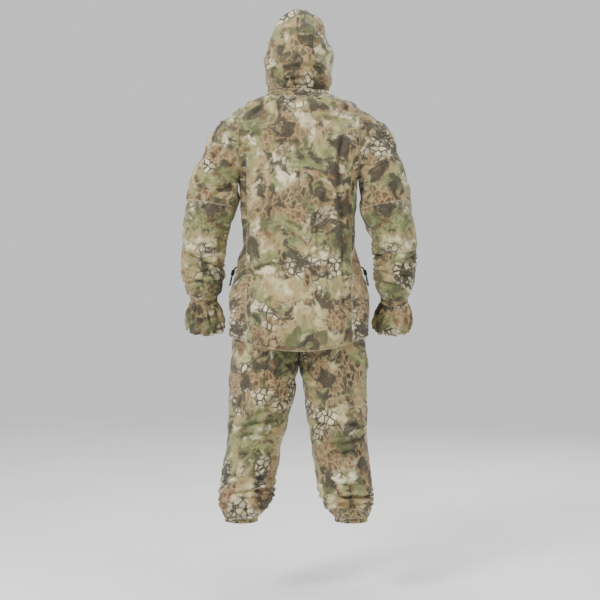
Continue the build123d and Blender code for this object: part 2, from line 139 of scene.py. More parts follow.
def level_tube(rows):
    """A tube of level ovals: rows are (height, half width, front Y, back Y, centre X)."""
    stations = []
    for height, half_width, front, back, *middle in rows:
        centre = (middle[0] if middle else 0.0, (front + back) / 2, up(height))
        stations.append((height, centre, (0, 0, -1), half_width, (back - front) / 2))
    return Tube(stations)


def armhole_levels():
    """Level ovals of the chest whose cut at the armhole plane is a chord of a circle."""
    rows = []
    for share in (-0.98, -0.85, -0.55, -0.2, 0.2, 0.55, 0.85, 0.98):
        height = ARMHOLE_HEIGHT + share * ARMHOLE_R
        half_depth = ARMHOLE_Y - front_edge(height)
        half_chord = ARMHOLE_R * math.sqrt(1 - share**2)
        half_width = ARMHOLE_X / math.sqrt(1 - (half_chord / half_depth) ** 2)
        rows.append((height, half_width, front_edge(height), ARMHOLE_Y + half_depth))
    return rows


TORSO = level_tube(
    [
        (height, half_width, front_edge(height), back)
        for height, half_width, back in (
            (0.770, 0.215, 0.172),
            (0.850, 0.218, 0.172),
            (0.940, 0.217, 0.165),
            (1.033, 0.191, 0.140),
            (1.105, 0.175, 0.130),
            (1.266, 0.181, 0.146),
        )
    ]
    + armhole_levels()
    + [
        (height, half_width, front_edge(height), back)
        for height, half_width, back in ((1.552, 0.152, 0.097), (1.575, 0.097, 0.080))
    ]
)

def lapped(height, by=0.0016):
    """A level oval just outside the chest at a height, where the hood laps over it."""
    row = smooth_line(TORSO.knots, TORSO.rows, np.array(height))
    middle, half_width, half_depth = row[1], row[6] + by, row[7] + by
    return (height, half_width, middle - half_depth, middle + half_depth)


HOOD = level_tube(
    [
        lapped(NECK_LAP),
        lapped(NECK_SEAM),
        (1.568, 0.104, -0.098, 0.083),
        (1.582, 0.094, -0.100, 0.080),
        (1.612, 0.099, -0.116, 0.100),
        (1.665, 0.106, -0.128, 0.118),
        (1.710, 0.102, -0.130, 0.123),
        (1.755, 0.089, -0.124, 0.116),
        (1.795, 0.066, -0.106, 0.096),
        (1.820, 0.043, -0.075, 0.067),
        (1.831, 0.026, -0.048, 0.042),
        (1.8366, 0.0012, -0.0050, -0.0026),
    ]
)

LEG = {
    "left": level_tube(
        [
            (0.244, 0.050, -0.036, 0.076, 0.179),
            (0.258, 0.051, -0.036, 0.076, 0.179),
            (0.272, 0.066, -0.058, 0.098, 0.176),
            (0.312, 0.084, -0.078, 0.106, 0.166),
            (0.385, 0.085, -0.090, 0.102, 0.157),
            (0.500, 0.087, -0.097, 0.091, 0.137),
            (0.600, 0.099, -0.104, 0.098, 0.121),
            (0.720, 0.104, -0.107, 0.107, 0.112),
            (0.820, 0.100, -0.109, 0.115, 0.106),
            (0.925, 0.095, -0.110, 0.120, 0.099),
            (1.000, 0.086, -0.103, 0.109, 0.090),
        ]
    ),
    "right": level_tube(
        [
            (0.244, 0.050, -0.036, 0.076, -0.162),
            (0.258, 0.051, -0.036, 0.076, -0.162),
            (0.272, 0.064, -0.058, 0.098, -0.160),
            (0.312, 0.081, -0.078, 0.106, -0.149),
            (0.385, 0.085, -0.090, 0.102, -0.137),
            (0.500, 0.089, -0.097, 0.091, -0.124),
            (0.600, 0.096, -0.104, 0.098, -0.116),
            (0.720, 0.102, -0.107, 0.107, -0.110),
            (0.820, 0.100, -0.109, 0.115, -0.106),
            (0.925, 0.095, -0.110, 0.120, -0.099),
            (1.000, 0.086, -0.103, 0.109, -0.090),
        ]
    ),
}


def sleeve_tube():
    """The left sleeve: its head fans out about the armpit, and the forearm leans forward."""
    corner = Vector((ARMHOLE_X, ARMHOLE_Y, up(ARMHOLE_HEIGHT - ARMHOLE_R - ARMPIT_DROP)))
    stations = []
    for knot, turn, inner, outer, half_depth in (
        (0.0, 0, ARMPIT_DROP, ARMPIT_DROP + 2 * ARMHOLE_R, ARMHOLE_R),
        (0.035, 18, 0.009, 0.202, 0.102),
        (0.075, 38, 0.006, 0.166, 0.096),
        (0.125, 66, 0.006, 0.147, 0.089),
        (0.170, 90, 0.006, 0.153, 0.085),
    ):
        turn = math.radians(turn)
        across = Vector((math.sin(turn), 0, math.cos(turn)))
        centre = corner + across * ((inner + outer) / 2)
        along = (across.z, 0, -across.x)
        stations.append((knot, centre, along, (outer - inner) / 2, half_depth))
    lean = (0.02, -0.34, -1)
    for knot, x, y, height, along, half_width, half_depth in (
        (0.235, 0.266, 0.014, 1.235, (0.14, 0, -1), 0.076, 0.081),
        (0.305, 0.284, 0.016, 1.165, (0.14, -0.08, -1), 0.071, 0.077),
        (0.380, 0.298, 0.006, 1.090, (0.06, -0.2, -1), 0.067, 0.074),
        (0.465, 0.302, -0.020, 1.010, lean, 0.065, 0.070),
        (0.509, 0.302, -0.034, 0.968, lean, 0.059, 0.063),
        (0.537, 0.301, -0.043, 0.941, lean, 0.042, 0.046),
        (0.553, 0.301, -0.048, 0.925, lean, 0.0415, 0.0455),
    ):
        stations.append((knot, (x, y, up(height)), along, half_width, half_depth))
    return Tube(stations)


def cuff_tube():
    """The left cuff: it flares from the wrist's elastic to cover the back of the hand."""
    lean = (0.02, -0.34, -1)
    return Tube(
        [
            (knot, (x, y, up(height)), lean, half_width, half_depth)
            for knot, x, y, height, half_width, half_depth in (
                (0.0, 0.301, -0.048, 0.925, 0.0415, 0.0455),
                (0.034, 0.300, -0.060, 0.890, 0.056, 0.058),
                (0.068, 0.298, -0.071, 0.858, 0.061, 0.062),
                (0.092, 0.296, -0.078, 0.836, 0.058, 0.059),
            )
        ]
    )


SLEEVE, CUFF = sleeve_tube(), cuff_tube()


# ---- cloth: a grid on a tube, cut larger than the tube, and simulated -----------------------
class Cloth:
    """A closed grid of cloth on a tube. Rows run along the tube, columns round it."""

    def __init__(self, name, tube, knots, columns, mirrored=False, origin=(0.0, 0.0)):
        """Knots are (rows, columns) places along the tube. Origin shifts the print, in metres."""
        self.name, self.tube, self.mirrored, self.origin = name, tube, mirrored, origin
        self.flipped = mirrored != (tube is HOOD)
        self.angles = -math.pi + 2 * math.pi * np.arange(columns) / columns
        self.knots = np.broadcast_to(knots, (len(knots), columns)).copy()
        self.start = self.ideal(self.knots, self.angles[None, :])
        self.points = self.start.copy()
        self.around = np.linalg.norm(np.roll(self.start, -1, axis=1) - self.start, axis=-1)
        self.along = np.linalg.norm(np.diff(self.start, axis=0), axis=-1)
        self.cut_width = (self.around[:-1] + self.around[1:]) / 2
        self.cut_length = (self.along + np.roll(self.along, -1, axis=1)) / 2

    def ideal(self, knots, angles, grow=0.0):
        """Points on the smooth tube, on this cloth's own side."""
        knots, angles = np.broadcast_arrays(knots, angles)
        points = self.tube.at(knots, angles, grow)
        if self.mirrored:
            points = points * np.array([-1.0, 1.0, 1.0])
        return points

    def faces(self):
        """The grid's faces, wound so that they look outward."""
        return outward(grid_faces(*self.points.shape[:2]), self.flipped)

    def grow_cut(self, grow_around, grow_along):
        """Adds the allowance for folds to the flat size of each cell."""
        grown = np.broadcast_to(grow_around, self.around.shape)
        self.cut_width = self.cut_width * (1 + (grown[:-1] + grown[1:]) / 2)
        self.cut_length = self.cut_length * (1 + grow_along)

    def flat_size(self, keep):
        """Width, length and area of the kept faces in the flat cut, before the cloth is worn."""
        cells = []
        for sizes in (self.cut_width, self.cut_length):
            cells.append(np.repeat(np.repeat(sizes, FINE, axis=0), FINE, axis=1) / FINE)
        width, length = (np.where(keep, sizes, 0) for sizes in cells)
        return width.sum(axis=1).max(), length.sum(axis=0).max(), (width * length).sum()

    def cut_shape(self, grow_around, grow_along):
        """The grid laid on a straight round tube, as large as the cloth is cut."""
        steps = self.around * (1 + grow_around)
        whole = steps.sum(axis=1, keepdims=True)
        place = np.cumsum(steps, axis=1) - steps
        turn = place / whole * 2 * math.pi
        radius = whole / (2 * math.pi)
        lengths = self.along * (1 + grow_along)
        depth = np.concatenate([np.zeros((1, lengths.shape[1])), np.cumsum(lengths, axis=0)])
        return np.stack([radius * np.cos(turn), radius * np.sin(turn), -depth], axis=-1)

    def flattened(self):
        """Where each point lies in the print, in metres, when the cloth is opened out flat."""
        around = np.concatenate([np.zeros((len(self.around), 1)), np.cumsum(self.around, 1)], 1)
        around -= around[:, -1:] / 2
        if self.tube is TORSO:
            half = around.shape[1] // 2
            front = around - np.where(np.arange(around.shape[1]) < half, around[:, :1], around[:, -1:])
            middle = self.start.shape[1] // 2
            run = np.concatenate([[0], np.cumsum(self.along[:, middle])])
            down = np.interp(-self.wrapped(self.knots), -self.knots[:, middle], run)
            self.front_place = np.stack([front, down], -1)
            return np.stack([around, down], -1)
        if self.tube is SLEEVE:
            return self.unwrapped()
        depth = np.concatenate([np.zeros((1, self.along.shape[1])), np.cumsum(self.along, 0)])
        return np.stack([around, self.wrapped(depth)], axis=-1)

    def wrapped(self, values):
        """Values with their first column again after the last."""
        return np.concatenate([values, values[:, :1]], axis=1)

    def unwrapped(self):
        """The tube slit at its front and flattened without shear, at its real size."""
        points = self.wrapped(self.start)
        rows, columns = points.shape[:2]
        faces = grid_faces(rows, columns, closed=False)
        thing = plain_object("unwrapping", points.reshape(-1, 3), faces)
        layer = thing.data.uv_layers.new(name="flat")
        bpy.context.view_layer.objects.active = thing
        for other in bpy.context.selected_objects:
            other.select_set(False)
        thing.select_set(True)
        bpy.ops.object.mode_set(mode="EDIT")
        bpy.ops.mesh.select_all(action="SELECT")
        bpy.ops.uv.unwrap(method="MINIMUM_STRETCH", margin=0.0)
        bpy.ops.object.mode_set(mode="OBJECT")
        corners = np.empty(len(thing.data.loops) * 2)
        thing.data.uv_layers["flat"].data.foreach_get("uv", corners)
        index = np.empty(len(thing.data.loops), int)
        thing.data.loops.foreach_get("vertex_index", index)
        flat = np.zeros((rows * columns, 2))
        flat[index] = corners.reshape(-1, 2)
        flat = flat.reshape(rows, columns, 2)
        mesh = thing.data
        bpy.data.objects.remove(thing)
        bpy.data.meshes.remove(mesh)
        real = np.median(np.linalg.norm(np.diff(points, axis=0), axis=-1))
        made = np.median(np.linalg.norm(np.diff(flat, axis=0), axis=-1))
        return flat * (real / made)

    def refine(self):
        """Makes the grid finer, with its print places, and works out its normals."""
        place = self.flattened()
        knots = np.concatenate([self.knots, self.knots[:, :1]], axis=1)[..., None]
        self.place = finer(place, False) + np.array(self.origin)
        self.knots = finer(knots, False)[..., 0]
        self.points = finer(self.points, True)
        self.angles = -math.pi + 2 * math.pi * np.arange(self.points.shape[1]) / self.points.shape[1]
        self.smooth = self.ideal(self.knots[:, :-1], self.angles[None, :])
        self.out = grid_normals(self.smooth)
        self.normals = grid_normals(self.points)

    def push(self, distance):
        """Moves each point out along the smooth tube's normal."""
        self.points = self.points + self.out * distance[..., None]
        self.normals = grid_normals(self.points)

    def sample(self, knot, angle, out=0.0):
        """Points and normals of the finished cloth, at places along and round its tube."""
        knot, angle = np.broadcast_arrays(np.asarray(knot, float), np.asarray(angle, float))
        rows, columns = self.points.shape[:2]
        column = (angle + math.pi) / (2 * math.pi) * columns
        nearest = np.round(column).astype(int) % columns
        row = np.empty(knot.shape)
        for index in np.ndindex(knot.shape):
            line = self.knots[:, nearest[index]]
            if line[0] > line[-1]:
                row[index] = np.interp(-knot[index], -line, np.arange(rows))
            else:
                row[index] = np.interp(knot[index], line, np.arange(rows))
        low = np.clip(np.floor(row).astype(int), 0, rows - 2)
        left = np.floor(column).astype(int)
        up_share, side_share = (row - low)[..., None], (column - left)[..., None]
        left, right = left % columns, (left + 1) % columns
        found = []
        for field in (self.points, self.normals):
            top = field[low, left] * (1 - side_share) + field[low, right] * side_share
            bottom = field[low + 1, left] * (1 - side_share) + field[low + 1, right] * side_share
            found.append(top * (1 - up_share) + bottom * up_share)
        normal = found[1] / np.linalg.norm(found[1], axis=-1, keepdims=True)
        return found[0] + normal * out, normal


def grid_faces(rows, columns, closed=True):
    """Four-sided faces between the points of a grid, as an array."""
    row, column = np.meshgrid(
        np.arange(rows - 1), np.arange(columns if closed else columns - 1), indexing="ij"
    )
    right = (column + 1) % columns
    corners = (
        row * columns + column,
        row * columns + right,
        (row + 1) * columns + right,
        (row + 1) * columns + column,
    )
    return np.stack(corners, axis=-1).reshape(-1, 4)


def outward(faces, flipped):
    """Faces turned over if their grid runs the other way."""
    return faces[:, ::-1] if flipped else faces


def grid_normals(points, closed=True):
    """Outward unit normals of a grid of points round a tube."""
    if closed:
        side = np.roll(points, -1, axis=1) - np.roll(points, 1, axis=1)
    else:
        side = np.gradient(points, axis=1)
    down = np.gradient(points, axis=0)
    normal = np.cross(side, down)
    normal /= np.linalg.norm(normal, axis=-1, keepdims=True) + 1e-12
    middle = points.mean(axis=1, keepdims=True)
    if closed and np.median(((points - middle) * normal).sum(-1)) < 0:
        normal = -normal
    return normal


def plain_object(name, points, faces):
    """A mesh object linked to the scene."""
    mesh = bpy.data.meshes.new(name)
    mesh.from_pydata(np.asarray(points).tolist(), [], np.asarray(faces).tolist())
    mesh.update()
    thing = bpy.data.objects.new(name, mesh)
    bpy.context.scene.collection.objects.link(thing)
    return thing


def waves(points, seed, size, strength):
    """A smooth random push at each point: a sum of plane waves of about one size."""
    rng = np.random.default_rng(seed)
    push = np.zeros(points.shape[:-1])
    for _ in range(14):
        direction = rng.normal(size=3)
        direction /= np.linalg.norm(direction)
        length = size * rng.uniform(0.6, 1.7)
        push += np.sin(points @ direction * 2 * math.pi / length + rng.uniform(0, 2 * math.pi))
    return push / math.sqrt(7) * strength


def broad(values, rows=5, columns=7):
    """The broad part of a value on a closed grid: its mean over the cells around."""
    padded = np.pad(values, ((rows, rows), (0, 0)), mode="edge")
    tall = sum(padded[k : k + len(values)] for k in range(2 * rows + 1)) / (2 * rows + 1)
    shifts = range(-columns, columns + 1)
    return sum(np.roll(tall, shift, axis=1) for shift in shifts) / len(shifts)


def finer(grid, closed):
    """A grid of points with smooth extra rows and columns (Catmull-Rom)."""

    def along_first(values, wrap):
        if wrap:
            padded = np.concatenate([values[-1:], values, values[:2]])
        else:
            first = 2 * values[:1] - values[1:2]
            last = 2 * values[-1:] - values[-2:-1]
            padded = np.concatenate([first, values, last])
        spans = len(padded) - 3
        result = []
        for step in range(FINE):
            t = step / FINE
            weights = (
                -0.5 * t + t**2 - 0.5 * t**3,
                1 - 2.5 * t**2 + 1.5 * t**3,
                0.5 * t + 2 * t**2 - 1.5 * t**3,
                -0.5 * t**2 + 0.5 * t**3,
            )
            result.append(sum(w * padded[k : k + spans] for k, w in enumerate(weights)))
        mixed = np.stack(result, axis=1).reshape(-1, *values.shape[1:])
        if not wrap:
            mixed = np.concatenate([mixed, values[-1:]])
        return mixed

    tall = along_first(grid, False)
    return np.swapaxes(along_first(np.swapaxes(tall, 0, 1), closed), 0, 1)


CLOTHS = []


def tailor(cloth, inset, grow_around, grow_along, hold, seed, ruffle=0.003, size=0.07):
    """Sets one cloth up for the simulation over a smooth stand-in for the wearer."""
    cloth.grow_cut(grow_around, grow_along)
    normal = grid_normals(cloth.start)
    push = waves(cloth.start, seed, size, ruffle) * (1 - np.clip(hold * 2, 0, 1))
    cloth.points = cloth.start + normal * push[..., None]
    CLOTHS.append(cloth)
    thing = plain_object(f"sim_{cloth.name}", cloth.points.reshape(-1, 3), cloth.faces())
    thing.shape_key_add(name="worn")
    cut = thing.shape_key_add(name="cut")
    cut.data.foreach_set("co", cloth.cut_shape(grow_around, grow_along).reshape(-1))
    cut.value = 0.0
    group = thing.vertex_groups.new(name="hold")
    for index, weight in enumerate(hold.reshape(-1)):
        group.add([index], float(weight), "REPLACE")
    modifier = thing.modifiers.new("cloth", "CLOTH")
    settings = modifier.settings
    settings.rest_shape_key = cut
    settings.vertex_group_mass = "hold"
    settings.pin_stiffness = 1.0
    settings.quality = 5
    settings.mass = 0.15
    settings.air_damping = 2.0
    settings.tension_stiffness = settings.compression_stiffness = 25.0
    settings.shear_stiffness = 8.0
    settings.bending_stiffness = 0.25
    settings.effector_weights.gravity = 0.25
    modifier.collision_settings.distance_min = 0.003
    modifier.collision_settings.use_self_collision = False
    cloth.thing = thing
    wearer = cloth.ideal(cloth.knots[::2, ::2], cloth.angles[None, ::2], -inset)
    inner = outward(grid_faces(*wearer.shape[:2]), cloth.flipped)
    body = plain_object(f"wearer_{cloth.name}", wearer.reshape(-1, 3), inner)
    body.modifiers.new("collision", "COLLISION")
    body.collision.thickness_outer = 0.003
    cloth.body = body


def run_cloth():
    """Steps the simulation, takes its result, and removes it."""
    scene = bpy.context.scene
    scene.frame_start, scene.frame_end = 1, SIM_FRAMES
    for frame_number in range(1, SIM_FRAMES + 1):
        scene.frame_set(frame_number)
    graph = bpy.context.evaluated_depsgraph_get()
    for cloth in CLOTHS:
        settled = cloth.thing.evaluated_get(graph).data
        flat = np.empty(len(settled.vertices) * 3)
        settled.vertices.foreach_get("co", flat)
        moved = flat.reshape(cloth.start.shape) - cloth.start
        far = np.linalg.norm(moved, axis=-1, keepdims=True)
        limit = REACH * np.tanh(far / REACH)
        moved = moved / np.maximum(far, 1e-9) * limit
        normal = grid_normals(cloth.start)
        shrunk = broad((moved * normal).sum(-1))
        cloth.points = cloth.start + moved - normal * shrunk[..., None]
    for cloth in CLOTHS:
        for thing in (cloth.thing, cloth.body):
            mesh = thing.data
            bpy.data.objects.remove(thing)
            bpy.data.meshes.remove(mesh)
    scene.frame_set(1)


def bump(value, low, high, soft):
    """1 between two limits, falling smoothly to 0 over a soft border outside them."""
    below = np.clip((value - (low - soft)) / soft, 0, 1)
    above = np.clip(((high + soft) - value) / soft, 0, 1)
    share = np.minimum(below, above)
    return share * share * (3 - 2 * share)


def hem_height(x):
    """Height of the jacket's curved hem at a distance from its middle."""
    sag = HEM_SIDE - HEM_MIDDLE
    radius = (HEM_REACH**2 + sag**2) / (2 * sag)
    return HEM_MIDDLE + radius - np.sqrt(radius**2 - np.asarray(x) ** 2)


# the front's places that the pockets hold still: from the zip outward, and heights
POCKET_HOLDS = (((0.050, 0.148), (1.215, 1.357)), ((0.076, 0.174), (0.848, 1.004)))


def torso_cloth():
    """The jacket's body from the neck seam to the hem."""
    columns = 132
    angles = -math.pi + 2 * math.pi * np.arange(columns) / columns
    level_rows = np.arange(NECK_SEAM, HEM_BLEND, -CELL)[:, None] + np.zeros((1, columns))
    hem = hem_height(0.216 * np.sin(angles))[None, :]
    share = np.linspace(0, 1, round((HEM_BLEND - HEM_MIDDLE) / CELL) + 1)[:, None]
    low_rows = level_rows[-1:] - CELL + (hem - level_rows[-1:] + CELL) * share
    cloth = Cloth("torso", TORSO, np.concatenate([level_rows, low_rows]), columns)
    height = cloth.knots
    x, y = cloth.start[..., 0], cloth.start[..., 1]
    ends = bump(height, NECK_SEAM, 2.0, 0.012)
    armhole = bump(height, 1.312, 1.528, 0.006) * bump(np.abs(x), 0.176, 9.0, 0.012)
    zip_hold = bump(np.abs(x), 0.0, 0.020, 0.015) * (y < 0)
    pockets = np.zeros_like(x)
    for (x_in, x_out), (bottom, top) in POCKET_HOLDS:
        pockets += bump(np.abs(x), x_in, x_out, 0.02) * bump(height, bottom, top, 0.02) * (y < 0)
    hold = np.maximum.reduce([ends, armhole, zip_hold, np.clip(pockets, 0, 1) * 0.9])
    waist = bump(height, 1.030, 1.040, 0.012)
    hold = np.maximum(hold, waist * 0.35)
    hold = np.maximum(hold, 0.02)
    waist_near = bump(height, 0.98, 1.10, 0.10)
    back = (y > 0) * 1.0
    around = 0.035 + 0.075 * waist_near + 0.03 * bump(height, 0.7, 0.95, 0.05)
    along = 0.025 + 0.035 * bump(height, 1.04, 1.25, 0.05) * back
    tailor(cloth, 0.020, around, along[:-1], hold, seed=3, ruffle=0.0035, size=0.11)
    return cloth


def hood_cloth():
    """The hood, before its face opening is cut."""
    columns = 84
    knots = np.concatenate([np.arange(NECK_LAP, 1.812, CELL), np.linspace(1.816, 1.8366, 7)])
    cloth = Cloth("hood", HOOD, knots[:, None], columns, origin=(0.31, 0.9))
    height = cloth.knots
    y = cloth.start[..., 1]
    hold = np.maximum(bump(height, 1.0, NECK_SEAM, 0.012), bump(height, 1.822, 2.0, 0.02))
    hold = np.maximum(hold, bump(-y, 0.070, 1.0, 0.03) * 0.8)
    hold = np.maximum(hold, 0.02)
    around = 0.03 + 0.0 * height
    along = 0.03 + 0.06 * bump(height, 1.56, 1.66, 0.03)
    tailor(cloth, 0.016, around, along[:-1], hold, seed=8, ruffle=0.003, size=0.09)
    return cloth


def sleeve_cloth(side, sign):
    """One sleeve from the armhole to the wrist."""
    columns = 60
    knots = np.arange(0.0, 0.5371 + CELL / 2, 0.5371 / 58)
    cloth = Cloth(f"sleeve_{side}", SLEEVE, knots[:, None], columns, sign < 0, (0.9 * sign, 0.2))
    knot = cloth.knots
    hold = np.maximum(bump(knot, -1, 0.0, 0.014), bump(knot, 0.533, 1, 0.012))
    hold = np.maximum(hold, 0.012)
    around = 0.05 + 0.08 * bump(knot, 0.47, 0.52, 0.05) + 0.03 * bump(knot, 0.25, 0.36, 0.05)
    along = 0.06 + 0.10 * bump(knot, 0.27, 0.40, 0.06) + 0.08 * bump(knot, 0.46, 0.52, 0.04)
    along = along - 0.04 * bump(knot, -1, 0.12, 0.06)
    tailor(cloth, 0.016, around, along[:-1], hold, seed=21 if sign > 0 else 22, size=0.06)
    return cloth


def leg_cloth(side, sign):
    """One trouser leg from under the hips to the ankle's elastic."""
    columns = 66
    knots = np.arange(THIGH_TOP, 0.258, -CELL)
    cloth = Cloth(f"leg_{side}", LEG[side], knots[:, None], columns, origin=(1.7 * sign, 0.5))
    height = cloth.knots
    hold = np.maximum(bump(height, THIGH_TOP - 0.02, 2, 0.02), bump(height, 0, 0.262, 0.012))
    hold = np.maximum(hold, 0.012)
    around = 0.05 + 0.09 * bump(height, 0.27, 0.33, 0.05)
    along = 0.045 + 0.07 * bump(height, 0.44, 0.56, 0.06) + 0.15 * bump(height, 0.27, 0.36, 0.05)
    tailor(cloth, 0.018, around, along[:-1], hold, seed=33 if sign > 0 else 34, size=0.08)
    return cloth


# ---- folds that the simulation is too coarse to find ------------------------------------------
def fold(cloth, ends, width, depth, facing=1.0):
    """A soft fold between two (X, height) ends, on the side that faces +Y (or -Y)."""
    points = cloth.points
    place = np.stack([points[..., 0], points[..., 2] + NECK], axis=-1)
    start, end = np.array(ends[0]), np.array(ends[1])
    run = end - start
    length = np.linalg.norm(run)
    along = ((place - start) @ run) / length**2
    bent = np.sin(np.clip(along, 0, 1) * math.pi)
    across = ((place - start) @ np.array([-run[1], run[0]])) / length - 0.06 * length * bent
    fade = bump(along, 0.12, 0.88, 0.22)
    if facing:
        fade = fade * np.clip(cloth.out[..., 1] * facing * 3, 0, 1)
    share = across / width
    profile = np.exp(-((share / 0.45) ** 2)) - 0.75 * np.exp(-(((share - 1) / 0.5) ** 2))
    profile = profile - 0.5 * np.exp(-(((share + 1) / 0.6) ** 2))
    return -profile * depth * fade


def put_folds(cloth, folds):
    """Pushes a list of folds into one cloth."""
    total = np.zeros(cloth.points.shape[:2])
    for ends, width, depth, facing in folds:
        total += fold(cloth, ends, width, depth, facing)
    cloth.push(total)


def random_folds(rng, count, x_range, heights, length, width, depth, lean, facing):
    """Folds at random places; lean is their direction's range from level, in degrees."""
    folds = []
    for _ in range(count):
        middle = np.array([rng.uniform(*x_range), rng.uniform(*heights)])
        turn = math.radians(rng.uniform(*lean))
        half = np.array([math.cos(turn), math.sin(turn)]) * rng.uniform(*length) / 2
        size = rng.uniform(*width)
        ends = (tuple(middle - half), tuple(middle + half))
        folds.append((ends, size, rng.uniform(*depth), facing))
    return folds


# ---- panels cut from the finished cloths -------------------------------------------------------
def shade_smooth(thing, flat_faces=()):
    """Smooth shading, except on the listed faces."""
    smooth = np.ones(len(thing.data.polygons), bool)
    smooth[list(flat_faces)] = False
    thing.data.polygons.foreach_set("use_smooth", smooth)


CUTS = {}


def fabric(name, points, normals, place, faces, keep, thick=CLOTH, rim=True):
    """A closed sheet: the kept faces of a grid, the same faces further in, and a rim.

    Rim says that the border is a hem, which looks rubbed.
    """
    kept = faces[keep]
    used = np.unique(kept)
    new_index = np.full(points.reshape(-1, 3).shape[0], -1)
    new_index[used] = np.arange(len(used))
    outer = points.reshape(-1, 3)[used]
    inner = outer - normals.reshape(-1, 3)[used] * thick
    outside = new_index[kept]
    inside = outside[:, ::-1] + len(used)
    sets = [outside, inside]
    edges = np.concatenate([outside[:, [k, (k + 1) % 4]] for k in range(4)])
    code = edges[:, 0].astype(np.int64) * len(used) + edges[:, 1]
    back_code = edges[:, 1].astype(np.int64) * len(used) + edges[:, 0]
    border = edges[~np.isin(code, back_code)]
    low, high = border[:, 0], border[:, 1]
    sets.append(np.stack([high, low, low + len(used), high + len(used)], 1))
    every = np.concatenate(sets)
    thing = plain_object(name, np.concatenate([outer, inner]), every)
    shade_smooth(thing, range(len(outside) * 2, len(every)))
    if rim:
        rubbed = np.zeros(len(used) * 2)
        rubbed[np.unique(border)] = 1.0
        rubbed[np.unique(border) + len(used)] = 1.0
        thing.data.attributes.new("wear", "FLOAT", "POINT").data.foreach_set("value", rubbed)
    layer = thing.data.uv_layers.new(name="print")
    spots = place.reshape(-1, 4, 2)[keep]
    border_uv = np.zeros((len(used), 2))
    border_uv[outside.reshape(-1)] = spots.reshape(-1, 2)
    uv = [spots, spots[:, ::-1], border_uv[sets[2] % len(used)]]
    layer.data.foreach_set("uv", np.concatenate(uv).reshape(-1))
    return thing


def corner_places(place):
    """The print place of each corner of each face of a cloth."""
    corners = np.stack([place[:-1, :-1], place[:-1, 1:], place[1:, 1:], place[1:, :-1]], axis=2)
    return corners.reshape(-1, 4, 2)


def panel(name, cloth, keep, rim=True, place=None):
    """A piece of cloth: keep is a mask of (rows - 1, columns) of the fine grid."""
    faces = grid_faces(*cloth.points.shape[:2])
    places = corner_places(cloth.place if place is None else place)
    if cloth.flipped:
        faces, places = faces[:, ::-1], places[:, ::-1]
    CUTS[name] = cloth.flat_size(keep)
    return fabric(
        name, cloth.points, cloth.normals, places, faces, keep.reshape(-1), rim=rim
    )


def whole(cloth):
    """A mask that keeps every face of a cloth."""
    return np.ones((len(cloth.points) - 1, cloth.points.shape[1]), bool)


def face_middles(cloth):
    """Knot and angle at the middle of each face of the fine grid."""
    knots = cloth.knots
    middle = (knots[:-1, :-1] + knots[1:, :-1] + knots[:-1, 1:] + knots[1:, 1:]) / 4
    step = 2 * math.pi / cloth.points.shape[1]
    return middle, np.broadcast_to(cloth.angles[None, :] + step / 2, middle.shape)


def patch(name, cloth, knots, angles, out, thick=0.0012, domed=0.0, rows=16, columns=18, seed=0):
    """A sewn-on layer that follows a finished cloth: knots and angles are its corner ranges."""
    down = np.linspace(0, 1, rows)[:, None]
    side = np.linspace(0, 1, columns)[None, :]
    knot = knots[0] + (knots[1] - knots[0]) * down + 0 * side
    if callable(angles):
        angle = angles(side + 0 * down, knot)
    else:
        angle = angles[0] + (angles[1] - angles[0]) * side + 0 * down
    edge = np.minimum(np.minimum(down, 1 - down) * rows, np.minimum(side, 1 - side) * columns)
    rise = out + domed * (1 - np.exp(-((edge / 3) ** 2)))
    if seed:
        rise = rise + waves(np.stack([knot, angle * 0.2, 0 * knot], -1), seed, 0.05, 0.0006)
    smooth = cloth.ideal(knot, angle)
    flat_width = np.linalg.norm(np.diff(smooth, axis=1), axis=-1)
    flat_length = np.linalg.norm(np.diff(smooth, axis=0), axis=-1)
    cell_areas = (flat_width[:-1] + flat_width[1:]) / 2 * (flat_length[:, :-1] + flat_length[:, 1:]) / 2
    CUTS[name] = flat_width.sum(axis=1).max(), flat_length.sum(axis=0).max(), cell_areas.sum()
    points, normals = cloth.sample(knot, angle, rise[..., None])
    width = np.linalg.norm(np.diff(points, axis=1), axis=-1).mean() * (columns - 1)
    length = np.linalg.norm(np.diff(points, axis=0), axis=-1).mean() * (rows - 1)
    where = np.stack([(side - 0.5) * width + 0 * down, down * length + 0 * side], -1)
    where = where + np.array([0.37 * (seed + 1), 0.53 + 0.21 * seed])
    faces = grid_faces(rows, columns, closed=False)
    corners = where.reshape(-1, 2)[faces]
    flip = np.cross(points[0, 1] - points[0, 0], points[1, 0] - points[0, 0]) @ normals[0, 0] < 0
    faces, corners = outward(faces, not flip), corners[:, ::-1] if not flip else corners
    keep = np.ones(len(faces), bool)
    return fabric(name, points, normals, corners, faces, keep, thick)


